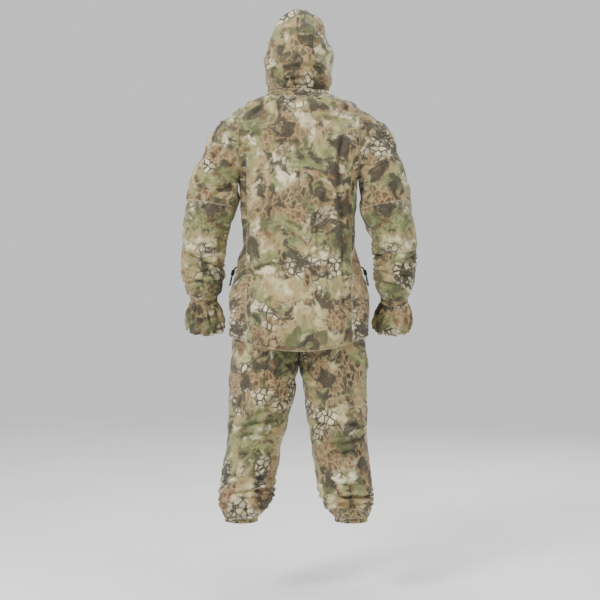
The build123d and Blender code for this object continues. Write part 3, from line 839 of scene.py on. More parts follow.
# ---- stitches, piping and other small lines ----------------------------------------------------
def stitches(name, lines, pitch=0.0042, length=0.0028, radius=0.00042):
    """Short rounded threads along lines; a line is (points, normals)."""
    points, faces = [], []
    for line, normals in lines:
        step = np.linalg.norm(np.diff(line, axis=0), axis=1)
        run = np.concatenate([[0], np.cumsum(step)])
        places = np.arange(pitch / 2, run[-1], pitch)
        middle = np.stack([np.interp(places, run, line[:, k]) for k in range(3)], 1)
        ahead = np.stack([np.interp(places + 0.001, run, line[:, k]) for k in range(3)], 1)
        behind = np.stack([np.interp(places - 0.001, run, line[:, k]) for k in range(3)], 1)
        out = np.stack([np.interp(places, run, normals[:, k]) for k in range(3)], 1)
        along = ahead - behind
        along /= np.linalg.norm(along, axis=1, keepdims=True) + 1e-9
        side = np.cross(along, out)
        side /= np.linalg.norm(side, axis=1, keepdims=True) + 1e-9
        for spot, forward, right, above in zip(middle, along, side, np.cross(side, along)):
            base = len(points)
            lift = above if above @ normals[0] > 0 else -above
            for share, size in ((-0.5, 0.35), (-0.2, 1.0), (0.2, 1.0), (0.5, 0.35)):
                for turn in (0.5, 1.5, 2.5, 3.5):
                    spoke = right * math.cos(turn * math.pi / 2) + lift * math.sin(turn * math.pi / 2)
                    points.append(spot + forward * length * share + spoke * radius * size)
            for ring in range(3):
                for k in range(4):
                    a, b = base + ring * 4 + k, base + ring * 4 + (k + 1) % 4
                    faces.append((a, b, b + 4, a + 4))
            faces.append((base + 3, base + 2, base + 1, base))
            faces.append((base + 12, base + 13, base + 14, base + 15))
    thing = plain_object(name, np.array(points), faces)
    shade_smooth(thing)
    thing.data.uv_layers.new(name="print")
    return thing


def seam_line(cloth, knots, angles, count=80, out=0.0006):
    """A line on a finished cloth between places along and round its tube."""
    share = np.linspace(0, 1, count)
    knot = np.interp(share, np.linspace(0, 1, len(knots)), knots)
    angle = np.interp(share, np.linspace(0, 1, len(angles)), angles)
    return cloth.sample(knot, angle, out)


def tube_along(name, line, radius, sides=8):
    """A round tube along a line of points, closed at its ends."""
    line = np.asarray(line)
    tangent = np.gradient(line, axis=0)
    tangent /= np.linalg.norm(tangent, axis=1, keepdims=True)
    side = np.cross(tangent[0], [0.3, 0.5, 0.8])
    points, faces = [], []
    for spot, forward in zip(line, tangent):
        side = side - forward * (side @ forward)
        side /= np.linalg.norm(side)
        other = np.cross(forward, side)
        for k in range(sides):
            turn = 2 * math.pi * k / sides
            points.append(spot + (side * math.cos(turn) + other * math.sin(turn)) * radius)
    for ring in range(len(line) - 1):
        for k in range(sides):
            a, b = ring * sides + k, ring * sides + (k + 1) % sides
            faces.append((a, b, b + sides, a + sides))
    last = (len(line) - 1) * sides
    thing = plain_object(name, points, faces)
    mesh = bmesh.new()
    mesh.from_mesh(thing.data)
    mesh.verts.ensure_lookup_table()
    mesh.faces.new([mesh.verts[k] for k in range(sides - 1, -1, -1)])
    mesh.faces.new([mesh.verts[last + k] for k in range(sides)])
    mesh.to_mesh(thing.data)
    mesh.free()
    shade_smooth(thing)
    thing.data.uv_layers.new(name="print")
    return thing


# ---- materials ----------------------------------------------------------------------------------
def colour(red, green, blue):
    """A screen colour from 0 to 255 as the shader's linear colour."""
    linear = [((c / 255 + 0.055) / 1.055) ** 2.4 for c in (red, green, blue)]
    return (*linear, 1.0)


class Shade:
    """A node material being built."""

    def __init__(self, name, sheen=0.0, metallic=0.0):
        self.material = bpy.data.materials.new(name)
        self.material.use_nodes = True
        self.tree = self.material.node_tree
        self.shader = self.tree.nodes["Principled BSDF"]
        self.shader.inputs["Sheen Weight"].default_value = sheen
        self.shader.inputs["Metallic"].default_value = metallic

    def node(self, kind, *links, **values):
        """A node with its values set, and links into its named or numbered inputs."""
        made = self.tree.nodes.new(kind)
        for key, value in values.items():
            if hasattr(made, key):
                setattr(made, key, value)
            else:
                made.inputs[key.replace("_", " ")].default_value = value
        for socket, source in links:
            self.tree.links.new(source, made.inputs[socket])
        return made

    def place(self, layer=None):
        """Print places in metres, or places in the object's own frame."""
        if layer:
            return self.node("ShaderNodeUVMap", uv_map=layer).outputs["UV"]
        return self.node("ShaderNodeTexCoord").outputs["Object"]

    def moved(self, vector, offset, scale=(1, 1, 1), turn=0.0):
        """A place shifted, turned and scaled, so that two patterns don't line up."""
        made = self.node("ShaderNodeMapping", ("Vector", vector))
        made.inputs["Location"].default_value = offset
        made.inputs["Rotation"].default_value = (0, 0, turn)
        made.inputs["Scale"].default_value = scale
        return made.outputs["Vector"]

    def noise(self, vector, size, detail=3.0, rough=0.5, distort=0.0):
        """Noise whose features are about one size, in metres."""
        made = self.node("ShaderNodeTexNoise", ("Vector", vector), Scale=1 / size)
        made.inputs["Detail"].default_value = detail
        made.inputs["Roughness"].default_value = rough
        made.inputs["Distortion"].default_value = distort
        return made.outputs

    def ramp(self, value, stops, smooth=False):
        """Colours or numbers at stops along a value."""
        made = self.node("ShaderNodeValToRGB", ("Fac", value))
        band = made.color_ramp
        band.interpolation = "EASE" if smooth else "LINEAR"
        while len(band.elements) < len(stops):
            band.elements.new(0.5)
        for element, (spot, tone) in zip(band.elements, stops):
            element.position = spot
            element.color = tone if isinstance(tone, tuple) else (tone, tone, tone, 1.0)
        return made.outputs["Color"]

    def mix(self, share, first, second):
        """A mix of two colours, each a socket or a constant."""
        made = self.node("ShaderNodeMix", data_type="RGBA")
        for socket, value in ((0, share), (6, first), (7, second)):
            if isinstance(value, (tuple, float, int)):
                made.inputs[socket].default_value = value
            else:
                self.tree.links.new(value, made.inputs[socket])
        return made.outputs[2]

    def times(self, first, second, operation="MULTIPLY"):
        """Two numbers combined."""
        made = self.node("ShaderNodeMath", operation=operation)
        for socket, value in ((0, first), (1, second)):
            if isinstance(value, (float, int)):
                made.inputs[socket].default_value = value
            else:
                self.tree.links.new(value, made.inputs[socket])
        return made.outputs[0]

    def finish(self, tone, rough, height=None, depth=0.0003, strength=0.5):
        """Links the colour, the roughness and a bump from a height into the shader."""
        self.tree.links.new(tone, self.shader.inputs["Base Color"])
        self.tree.links.new(rough, self.shader.inputs["Roughness"])
        if height is not None:
            bumped = self.node("ShaderNodeBump", ("Height", height), Strength=strength)
            bumped.inputs["Distance"].default_value = depth
            self.tree.links.new(bumped.outputs["Normal"], self.shader.inputs["Normal"])
        return self.material


def cells(shade, vector, size, squeeze, turn, inner, outline, spread):
    """A patch of irregular cells with outlines; returns its colour."""
    spot = shade.moved(vector, (0.13 * spread, 0.71, 0), (1.0, squeeze, 1.0), turn)
    wobble = shade.noise(spot, size * 1.2, 1.0)["Color"]
    bent = shade.mix(0.009, spot, wobble)
    edge = shade.node("ShaderNodeTexVoronoi", ("Vector", bent), feature="DISTANCE_TO_EDGE")
    edge.inputs["Scale"].default_value = 1 / size
    body = shade.node("ShaderNodeTexVoronoi", ("Vector", bent), feature="F1")
    body.inputs["Scale"].default_value = 1 / size
    tone = shade.mix(shade.noise(vector, 0.02, 2.0)["Fac"], inner, inner_shade(inner))
    rim = shade.ramp(edge.outputs["Distance"], ((0.05, 1.0), (0.16, 0.0)))
    varied = shade.ramp(body.outputs["Color"], ((0.25, 0.0), (0.75, 0.45)))
    return shade.mix(rim, shade.mix(varied, tone, outline), outline)


def inner_shade(tone):
    """A deeper version of a colour."""
    return tuple(channel * 0.72 for channel in tone[:3]) + (1.0,)


def camouflage():
    """A soft blurred print of sage and tan, with dark smudges, rust, and patches of cells."""
    shade = Shade("camouflage_print", sheen=0.12)
    flat = shade.place("print")
    bend = shade.noise(flat, 0.09, 2.0)["Color"]
    bent = shade.mix(0.045, flat, bend)
    sage, deep, pale = colour(128, 132, 82), colour(66, 70, 38), colour(176, 168, 122)
    cream, dark = colour(226, 214, 178), colour(34, 26, 21)
    rust, tan = colour(88, 48, 27), colour(146, 122, 82)
    base = shade.noise(bent, 0.105, 4.0, 0.55)["Fac"]
    tone = shade.ramp(base, ((0.34, deep), (0.45, sage), (0.54, tan), (0.64, pale)))
    leaf = shade.noise(shade.moved(bent, (3.1, 1.7, 0)), 0.060, 4.0, 0.6)["Fac"]
    tone = shade.mix(shade.ramp(leaf, ((0.51, 0.0), (0.62, 0.9)), True), tone, deep)
    light = shade.noise(shade.moved(bent, (1.3, 5.2, 0)), 0.052, 3.0, 0.55)["Fac"]
    tone = shade.mix(shade.ramp(light, ((0.56, 0.0), (0.70, 0.8)), True), tone, cream)
    earth = shade.noise(shade.moved(bent, (7.7, 2.9, 0)), 0.058, 4.0, 0.6, 0.3)["Fac"]
    tone = shade.mix(shade.ramp(earth, ((0.57, 0.0), (0.66, 0.8)), True), tone, rust)
    for number, (size, squeeze, turn, inner, outline, patch_size) in enumerate(
        (
            (0.019, 1.0, 0.3, cream, inner_shade(dark), 0.125),
            (0.015, 0.62, 1.1, dark, tan, 0.135),
            (0.016, 0.8, -0.6, rust, tan, 0.120),
        )
    ):
        where = shade.noise(shade.moved(bent, (9.1 + 4.3 * number, 6.4, 0)), patch_size, 2.0)["Fac"]
        mask = shade.ramp(where, ((0.565, 0.0), (0.615, 0.92)))
        made = cells(shade, flat, size, squeeze, turn, inner, outline, number + 1)
        tone = shade.mix(mask, tone, made)
    smudge = shade.noise(shade.moved(bent, (5.5, 8.8, 0)), 0.055, 5.0, 0.66, 0.5)["Fac"]
    tone = shade.mix(shade.ramp(smudge, ((0.50, 0.0), (0.60, 0.93)), True), tone, dark)
    fleck = shade.noise(shade.moved(flat, (2.5, 3.8, 0)), 0.019, 4.0, 0.6)["Fac"]
    tone = shade.mix(shade.ramp(fleck, ((0.55, 0.0), (0.72, 0.55)), True), tone, inner_shade(deep))
    wear = shade.node("ShaderNodeAttribute", attribute_name="wear").outputs["Fac"]
    rubbed = shade.times(wear, shade.noise(flat, 0.012, 3.0)["Fac"])
    tone = shade.mix(shade.times(rubbed, 0.45), tone, cream)
    fine = shade.noise(flat, 0.0016, 2.0)["Fac"]
    tone = shade.mix(shade.ramp(fine, ((0.35, 0.0), (0.65, 0.10))), tone, pale)
    warp = shade.node("ShaderNodeTexWave", ("Vector", flat), Scale=1 / 0.0042)
    weft = shade.node("ShaderNodeTexWave", ("Vector", flat), Scale=1 / 0.0042)
    warp.bands_direction, weft.bands_direction = "DIAGONAL", "Y"
    twill = shade.times(warp.outputs["Fac"], weft.outputs["Fac"])
    crush = shade.noise(flat, 0.011, 4.0, 0.6)["Fac"]
    height = shade.times(shade.times(twill, 0.25), shade.times(crush, 2.2), "ADD")
    rough = shade.ramp(shade.noise(flat, 0.03, 3.0)["Fac"], ((0.3, 0.78), (0.7, 0.92)))
    return shade.finish(tone, rough, height, 0.0011, 0.55)


def woven(name, light, dark, rib, across=False, sheen=0.1):
    """A plain tape, cord or elastic with ribs of one size in metres."""
    shade = Shade(name, sheen=sheen)
    flat = shade.place()
    ribs = shade.node("ShaderNodeTexWave", ("Vector", flat), Scale=0.16 / rib)
    ribs.bands_direction = "DIAGONAL" if across else "Z"
    grain = shade.noise(flat, 0.0025, 3.0)["Fac"]
    tone = shade.mix(shade.ramp(grain, ((0.3, 0.0), (0.7, 1.0))), dark, light)
    tone = shade.mix(shade.times(ribs.outputs["Fac"], 0.35), tone, dark)
    rough = shade.ramp(grain, ((0.3, 0.75), (0.7, 0.9)))
    return shade.finish(tone, rough, ribs.outputs["Fac"], rib * 0.3, 0.5)


def hard(name, light, dark, rough, metallic=0.0, grain_size=0.002):
    """Moulded plastic or lacquered metal with fine grain, scuffs and rubbed colour."""
    shade = Shade(name, metallic=metallic)
    flat = shade.place()
    grain = shade.noise(flat, grain_size, 4.0)["Fac"]
    scuff = shade.noise(shade.moved(flat, (3, 1, 2), (1, 1, 0.2)), 0.006, 5.0, 0.7)["Fac"]
    tone = shade.mix(shade.ramp(scuff, ((0.45, 0.0), (0.75, 1.0))), dark, light)
    spread = shade.ramp(grain, ((0.3, rough - 0.08), (0.7, rough + 0.10)))
    return shade.finish(tone, spread, grain, 0.0002, 0.35)


MATERIALS = {
    "camouflage": camouflage(),
    "lining": woven("lining_tape", colour(120, 122, 92), colour(82, 84, 60), 0.0012),
    "elastic": woven("gathered_elastic", colour(128, 130, 94), colour(78, 78, 54), 0.0018),
    "zip_tape": woven("woven_zip_tape", colour(96, 100, 70), colour(64, 67, 46), 0.0011),
    "zip_plastic": hard("moulded_zip", colour(70, 72, 52), colour(40, 42, 30), 0.42),
    "button": hard("button_plastic", colour(112, 106, 78), colour(74, 70, 50), 0.38),
    "cord": woven("braided_cord", colour(74, 88, 56), colour(38, 48, 30), 0.0020, across=True),
    "cord_lock": hard("cord_lock_plastic", colour(52, 56, 42), colour(28, 31, 23), 0.45),
    "eyelet": hard("lacquered_eyelet", colour(98, 98, 72), colour(54, 55, 40), 0.40, metallic=0.7),
    "thread": woven("sewing_thread", colour(116, 112, 80), colour(84, 80, 56), 0.0008, across=True),
}


def dress(thing, slot, material=None):
    """Gives a piece its material: the one named, or else the one of its slot."""
    thing.data.materials.clear()
    thing.data.materials.append(MATERIALS[material or slot])
    return thing


# ---- making every cloth, and its folds ----------------------------------------------------------
torso = torso_cloth()
hood = hood_cloth()
sleeves = {side: sleeve_cloth(side, sign) for side, sign in SIDES}
legs = {side: leg_cloth(side, sign) for side, sign in SIDES}
run_cloth()
for number, cloth in enumerate(CLOTHS):
    cloth.refine()
    crumple = waves(cloth.points, 60 + number, 0.028, 0.0005)
    crumple = crumple + waves(cloth.points, 80 + number, 0.055, 0.0009)
    ends = np.minimum(np.arange(len(crumple)), np.arange(len(crumple))[::-1])[:, None]
    cloth.push(crumple * np.clip(ends / 6, 0, 1))

BACK, FRONT, BOTH = 1.0, -1.0, 0.0
TORSO_FOLDS = [
    # drapes that run out from the neck to the shoulders
    (((0.045, 1.565), (0.150, 1.480)), 0.012, 0.006, BACK),
    (((0.030, 1.560), (0.090, 1.430)), 0.014, 0.005, BACK),
    (((-0.040, 1.566), (-0.160, 1.487)), 0.012, 0.006, BACK),
    (((-0.028, 1.560), (-0.075, 1.440)), 0.013, 0.005, BACK),
    (((0.060, 1.545), (0.175, 1.500)), 0.010, 0.005, BACK),
    (((-0.062, 1.545), (-0.178, 1.505)), 0.010, 0.005, BACK),
    # long soft folds down the back
    (((-0.135, 1.440), (-0.140, 1.130)), 0.014, 0.008, BACK),
    (((0.150, 1.420), (0.156, 1.150)), 0.013, 0.007, BACK),
    (((-0.010, 1.340), (0.004, 1.060)), 0.013, 0.004, BACK),
    (((0.078, 1.240), (0.060, 1.050)), 0.014, 0.006, BACK),
    (((-0.080, 1.260), (-0.062, 1.060)), 0.013, 0.006, BACK),
    # gathers at the drawcord
    (((0.120, 1.095), (0.112, 0.985)), 0.009, 0.006, BACK),
    (((0.088, 1.085), (0.082, 0.975)), 0.009, 0.005, BACK),
    (((0.040, 1.080), (0.042, 0.960)), 0.010, 0.005, BACK),
    (((-0.038, 1.085), (-0.030, 0.965)), 0.010, 0.005, BACK),
    (((-0.100, 1.090), (-0.092, 0.955)), 0.009, 0.006, BACK),
    (((-0.134, 1.085), (-0.145, 0.960)), 0.009, 0.006, BACK),
    (((0.150, 1.080), (0.160, 0.970)), 0.008, 0.005, BACK),
    # the skirt's folds
    (((0.104, 0.960), (0.122, 0.810)), 0.016, 0.006, BACK),
    (((-0.060, 0.955), (-0.058, 0.800)), 0.016, 0.005, BACK),
    (((-0.135, 0.950), (-0.150, 0.820)), 0.014, 0.006, BACK),
    (((0.030, 0.940), (0.020, 0.790)), 0.015, 0.005, BACK),
    # the front
    (((0.040, 1.540), (0.110, 1.400)), 0.012, 0.005, FRONT),
    (((-0.040, 1.540), (-0.115, 1.410)), 0.012, 0.005, FRONT),
    (((0.170, 1.300), (0.120, 1.150)), 0.012, 0.006, FRONT),
    (((-0.168, 1.290), (-0.118, 1.160)), 0.012, 0.006, FRONT),
    (((0.060, 1.180), (0.056, 1.060)), 0.012, 0.005, FRONT),
    (((-0.058, 1.185), (-0.062, 1.050)), 0.012, 0.005, FRONT),
    (((0.130, 1.100), (0.136, 1.010)), 0.010, 0.005, FRONT),
    (((-0.128, 1.100), (-0.138, 1.012)), 0.010, 0.005, FRONT),
]
HOOD_FOLDS = [
    (((-0.098, 1.632), (0.020, 1.640)), 0.011, 0.007, BACK),
    (((0.100, 1.655), (0.004, 1.664)), 0.010, 0.006, BACK),
    (((-0.090, 1.600), (0.060, 1.597)), 0.010, 0.006, BACK),
    (((0.094, 1.616), (-0.030, 1.610)), 0.009, 0.005, BACK),
    (((-0.085, 1.700), (-0.010, 1.690)), 0.012, 0.004, BACK),
    (((0.060, 1.760), (0.020, 1.640)), 0.016, 0.004, BACK),
    (((-0.070, 1.775), (-0.040, 1.660)), 0.016, 0.004, BACK),
]
SLEEVE_FOLDS = {
    "left": [
        (((0.350, 1.075), (0.250, 1.035)), 0.012, 0.009, BOTH),
        (((0.345, 1.110), (0.262, 1.085)), 0.011, 0.007, BOTH),
        (((0.235, 1.180), (0.330, 1.140)), 0.012, 0.007, BOTH),
        (((0.205, 1.290), (0.300, 1.200)), 0.013, 0.007, BOTH),
        (((0.200, 1.480), (0.262, 1.330)), 0.014, 0.006, BOTH),
        (((0.350, 1.025), (0.255, 1.005)), 0.009, 0.006, BOTH),
        (((0.255, 0.990), (0.350, 0.980)), 0.008, 0.005, BOTH),
        (((0.225, 1.400), (0.310, 1.290)), 0.014, 0.006, BOTH),
    ],
    "right": [
        (((-0.240, 1.060), (-0.352, 1.040)), 0.012, 0.008, BOTH),
        (((-0.245, 1.110), (-0.340, 1.085)), 0.012, 0.008, BOTH),
        (((-0.230, 1.180), (-0.335, 1.160)), 0.012, 0.006, BOTH),
        (((-0.210, 1.270), (-0.290, 1.200)), 0.014, 0.007, BOTH),
        (((-0.200, 1.480), (-0.285, 1.350)), 0.013, 0.006, BOTH),
        (((-0.255, 1.015), (-0.350, 1.005)), 0.009, 0.006, BOTH),
        (((-0.255, 0.985), (-0.345, 0.978)), 0.008, 0.005, BOTH),
        (((-0.250, 1.360), (-0.310, 1.240)), 0.013, 0.005, BOTH),
    ],
}
LEG_FOLDS = {
    "left": [
        (((0.050, 0.560), (0.205, 0.530)), 0.013, 0.009, BACK),
        (((0.056, 0.500), (0.210, 0.520)), 0.012, 0.007, BACK),
        (((0.060, 0.470), (0.190, 0.450)), 0.012, 0.006, BACK),
        (((0.030, 0.620), (0.130, 0.575)), 0.013, 0.006, BACK),
        (((0.015, 0.740), (0.110, 0.680)), 0.014, 0.006, BACK),
        (((0.090, 0.345), (0.250, 0.325)), 0.010, 0.009, BOTH),
        (((0.250, 0.305), (0.110, 0.295)), 0.009, 0.008, BOTH),
        (((0.095, 0.375), (0.220, 0.395)), 0.011, 0.006, BOTH),
    ],
    "right": [
        (((-0.050, 0.550), (-0.215, 0.560)), 0.013, 0.009, BACK),
        (((-0.045, 0.490), (-0.200, 0.505)), 0.013, 0.008, BACK),
        (((-0.215, 0.470), (-0.080, 0.445)), 0.012, 0.006, BACK),
        (((-0.020, 0.700), (-0.120, 0.650)), 0.014, 0.006, BACK),
        (((-0.200, 0.640), (-0.100, 0.600)), 0.013, 0.005, BACK),
        (((-0.075, 0.340), (-0.235, 0.330)), 0.010, 0.009, BOTH),
        (((-0.230, 0.305), (-0.080, 0.297)), 0.009, 0.008, BOTH),
        (((-0.080, 0.380), (-0.200, 0.370)), 0.011, 0.006, BOTH),
    ],
}
for side, sign in SIDES:
    leg = legs[side]
    towards_middle = np.clip(-np.sin(leg.angles) * sign, 0, 1)[None, :] ** 2
    leg.push(0.0072 * towards_middle * bump(leg.knots[:, :-1], 0.715, 2.0, 0.05))
outer_side = np.clip(np.sin(sleeves["left"].angles), 0, 1)[None, :] ** 2
sleeves["left"].push(-0.016 * outer_side * bump(sleeves["left"].knots[:, :-1], 0.06, 0.11, 0.055))
put_folds(torso, TORSO_FOLDS)
put_folds(hood, HOOD_FOLDS)
for side, sign in SIDES:
    extra = random_folds(
        RANDOM, 12, sorted((sign * 0.25, sign * 0.35)), (0.965, 1.12), (0.05, 0.10),
        (0.006, 0.009), (0.003, 0.005), (-22, 22), BOTH,
    )
    put_folds(sleeves[side], SLEEVE_FOLDS[side] + extra)
    middle = {"left": 0.170, "right": -0.150}[side]
    extra = random_folds(
        RANDOM, 14, (middle - 0.07, middle + 0.07), (0.275, 0.400), (0.06, 0.13),
        (0.007, 0.011), (0.003, 0.006), (-18, 18), BOTH,
    )
    put_folds(legs[side], LEG_FOLDS[side] + extra)


# ---- jacket -------------------------------------------------------------------------------------
def half_width_at(tube, knot):
    """Half width of a tube at a place along it."""
    return smooth_line(tube.knots, tube.rows, np.asarray(knot, float))[..., 6]


def snap_columns(cloth, rows, columns_from_front, x):
    """Moves the columns beside the front's middle to the edge of the zip's gap."""
    count = cloth.points.shape[1]
    for column, side in ((columns_from_front, -1), (count - columns_from_front, 1)):
        where = cloth.points[rows, column, 0]
        cloth.points[rows, column, 0] = np.sign(where) * x
    cloth.normals = grid_normals(cloth.points)


def cut_off(thing, corner, normal, above=None):
    """Cuts away what lies beyond a plane, above a height if one is given, and closes the edge."""
    mesh = bmesh.new()
    mesh.from_mesh(thing.data)
    chosen = [v for v in mesh.verts if above is None or v.co.z > above]
    held = set(chosen)
    edges = [e for e in mesh.edges if e.verts[0] in held and e.verts[1] in held]
    faces = [f for f in mesh.faces if all(v in held for v in f.verts)]
    bmesh.ops.bisect_plane(
        mesh, geom=chosen + edges + faces, plane_co=corner, plane_no=normal, clear_outer=True
    )
    axis, away = Vector(normal), Vector(corner)
    raw = [e for e in mesh.edges if e.is_boundary]
    raw = [e for e in raw if all(abs((v.co - away).dot(axis)) < 1e-5 for v in e.verts)]
    lines = [e for e in raw if e.link_faces[0].smooth]
    flat_faces = set()
    if lines:
        flat_faces = set(bmesh.ops.bridge_loops(mesh, edges=lines)["faces"])
    layer = mesh.loops.layers.uv["print"]
    for face in flat_faces:
        for loop in face.loops:
            known = [other for other in loop.vert.link_loops if other.face not in flat_faces]
            if known:
                loop[layer].uv = known[0][layer].uv
    mesh.to_mesh(thing.data)
    mesh.free()


TORSO_KNOT, TORSO_ANGLE = face_middles(torso)
ZIP_COLUMN = 2
snap_columns(torso, slice(None), ZIP_COLUMN, ZIP_GAP)
snap_columns(hood, slice(0, 8), 1, ZIP_GAP)
SIDE_SEAM, SIDE_SEAM_TOP = 0.163, 1.300
ARMHOLE_MARGIN = 0.014  # cloth kept beyond the armhole's plane, which is then trimmed
TRIM_ABOVE = 1.305  # the armhole's trim starts at this height
seam_angle = np.arcsin(np.clip(SIDE_SEAM / half_width_at(TORSO, TORSO_KNOT), 0, 1))
seam_angle = np.where(TORSO_KNOT > SIDE_SEAM_TOP, math.pi / 2, seam_angle)
reach_x = np.abs(torso.smooth[..., 0])
reach_x = np.minimum(reach_x, np.roll(reach_x, -1, axis=1))
reach_x = np.minimum(reach_x[:-1], reach_x[1:])
inside = (reach_x < ARMHOLE_X + ARMHOLE_MARGIN) | (TORSO_KNOT < SIDE_SEAM_TOP)
column_number = np.arange(torso.points.shape[1])
open_front = (column_number < ZIP_COLUMN) | (column_number >= torso.points.shape[1] - ZIP_COLUMN)
is_back = np.abs(TORSO_ANGLE) < seam_angle
pieces = {"jacket_back": panel("jacket_back_panel", torso, is_back & inside)}
for side, sign in SIDES:
    keep = ~is_back & inside & ~open_front[None, :] & (TORSO_ANGLE * sign > 0)
    place = finer(torso.front_place, False) + np.array([1.9 + 0.4 * sign, 0.6])
    name = f"jacket_front_panel_{side}"
    pieces[f"jacket_front_{side}"] = panel(name, torso, keep, place=place)
for node_name, thing in pieces.items():
    for sign in (1, -1):
        cut_off(thing, (sign * ARMHOLE_X, 0, 0), (sign, 0, 0), above=up(TRIM_ABOVE))
    dress(thing, "camouflage")
    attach(thing, "garment")
    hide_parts(node_name)


def front_angle(x, knot):
    """Angle of a point on the front of the jacket, from how far it is from the middle."""
    share = np.clip(np.abs(x) / half_width_at(TORSO, knot), 0, 0.999)
    return np.sign(x) * (math.pi - np.arcsin(share))


def back_angle(x, knot):
    """Angle of a point on the back of the jacket."""
    share = np.clip(np.abs(x) / half_width_at(TORSO, knot), 0, 0.999)
    return np.sign(x) * np.arcsin(share)


tunnel = patch(
    "waist_drawcord_tunnel", torso, (1.048, 1.020), (-math.pi + 0.17, math.pi - 0.17), -0.0040,
    rows=5, columns=160, seed=1,
)
dress(tunnel, "lining")
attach(tunnel, "garment")
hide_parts("waist_tunnel")

# ---- pockets with flaps -------------------------------------------------------------------------
POCKETS = {
    "chest": {"x": (0.050, 0.148), "z": (1.215, 1.345), "flap": 0.052, "seed": 3},
    "hip": {"x": (0.076, 0.174), "z": (0.848, 0.992), "flap": 0.056, "seed": 5},
}
FLAP_OVERLAP, FLAP_WIDER = 0.012, 0.004
HINGES = {"chest": (0.10037, -0.11282, -0.218), "hip": (0.12802, -0.12589, -0.571)}


def across_front(sign, x_in, x_out):
    """A patch's angles, so that its sides stand upright between two distances from the zip."""
    return lambda side, knot: front_angle(sign * (x_in + (x_out - x_in) * side), knot)


def edge_seams(sign, sides, heights, count, out):
    """Two rows of stitches along the bottom and both sides of a layer sewn on the front."""
    (x_in, x_out), (top, bottom) = sides, heights
    found = []
    for inset in (0.0022, 0.0080):
        near, far = x_in + inset, x_out - inset
        lines = [((bottom + inset,) * 2, (near, far))]
        lines += [((top, bottom + inset), (x, x)) for x in (near, far)]
        rise = out + 0.0022 * (1 - math.exp(-((inset / 0.004 / 3) ** 2))) + 0.0002
        for knots, xs in lines:
            share = np.linspace(0, 1, count)
            knot = knots[0] + (knots[1] - knots[0]) * share
            x = sign * (xs[0] + (xs[1] - xs[0]) * share)
            found.append(torso.sample(knot, front_angle(x, knot), rise))
    return found


for label, size in POCKETS.items():
    (x_in, x_out), (bottom, top) = size["x"], size["z"]
    flap_top = top + FLAP_OVERLAP
    flap_bottom = flap_top - size["flap"]
    for side, sign in SIDES:
        bag = patch(
            f"{label}_patch_pocket_{side}", torso, (top, bottom), across_front(sign, x_in, x_out),
            0.0018, domed=0.0022, rows=30, columns=24, seed=size["seed"],
        )
        flap = patch(
            f"{label}_pocket_flap_{side}", torso, (flap_top, flap_bottom),
            across_front(sign, x_in - FLAP_WIDER, x_out + FLAP_WIDER),
            0.0034, domed=0.0022, rows=14, columns=24, seed=size["seed"] + 1,
        )
        seams = edge_seams(sign, (x_in, x_out), (top - 0.002, bottom), 50, 0.0018)
        thread = stitches(f"{label}_pocket_stitching_{side}", seams)
        flap_sides = (x_in - FLAP_WIDER, x_out + FLAP_WIDER)
        flap_seams = edge_seams(sign, flap_sides, (flap_top - 0.003, flap_bottom), 40, 0.0034)
        flap_thread = stitches(f"{label}_flap_stitching_{side}", flap_seams)
        dress(bag, "camouflage")
        dress(flap, "camouflage")
        dress(thread, "camouflage", "thread")
        dress(flap_thread, "camouflage", "thread")
        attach(bag, "garment")
        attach(thread, "garment")
        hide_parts(f"{label}_pocket_{side}")
        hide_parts(f"{label}_flap_{side}")
        pivot = Vector(HINGES[label])
        pivot.x *= sign
        for thing in (flap, flap_thread):
            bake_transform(thing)

# ---- zip ----------------------------------------------------------------------------------------
ZIP_TOP, ZIP_BOTTOM = 1.518, 0.800
ZIP_ALONG = Vector((0, 0.1, 1)).normalized()
ZIP_BACK = Vector((0, 1, -0.1)).normalized()
ZIP_START = Vector((0, front_edge(ZIP_TOP), up(ZIP_TOP)))
ZIP_LENGTH = (ZIP_TOP - ZIP_BOTTOM) * math.hypot(1, 0.1)


def zip_point(x, behind, along):
    """A point in the zip's own frame."""
    return ZIP_START + Vector((x, 0, 0)) + ZIP_BACK * behind + ZIP_ALONG * along


def tooth(x, behind, along, sign):
    """The points of one moulded tooth: a block whose inner end is a rounded head."""
    points = []
    for depth in (-0.0011, 0.0011):
        for across, half in ((0.0015, 0.0009), (0.0002, 0.0007), (-0.0011, 0.0011), (-0.0017, 0.0007)):
            for edge in (-half, half):
                points.append(zip_point(x + sign * across, behind + depth, along + edge))
    return points


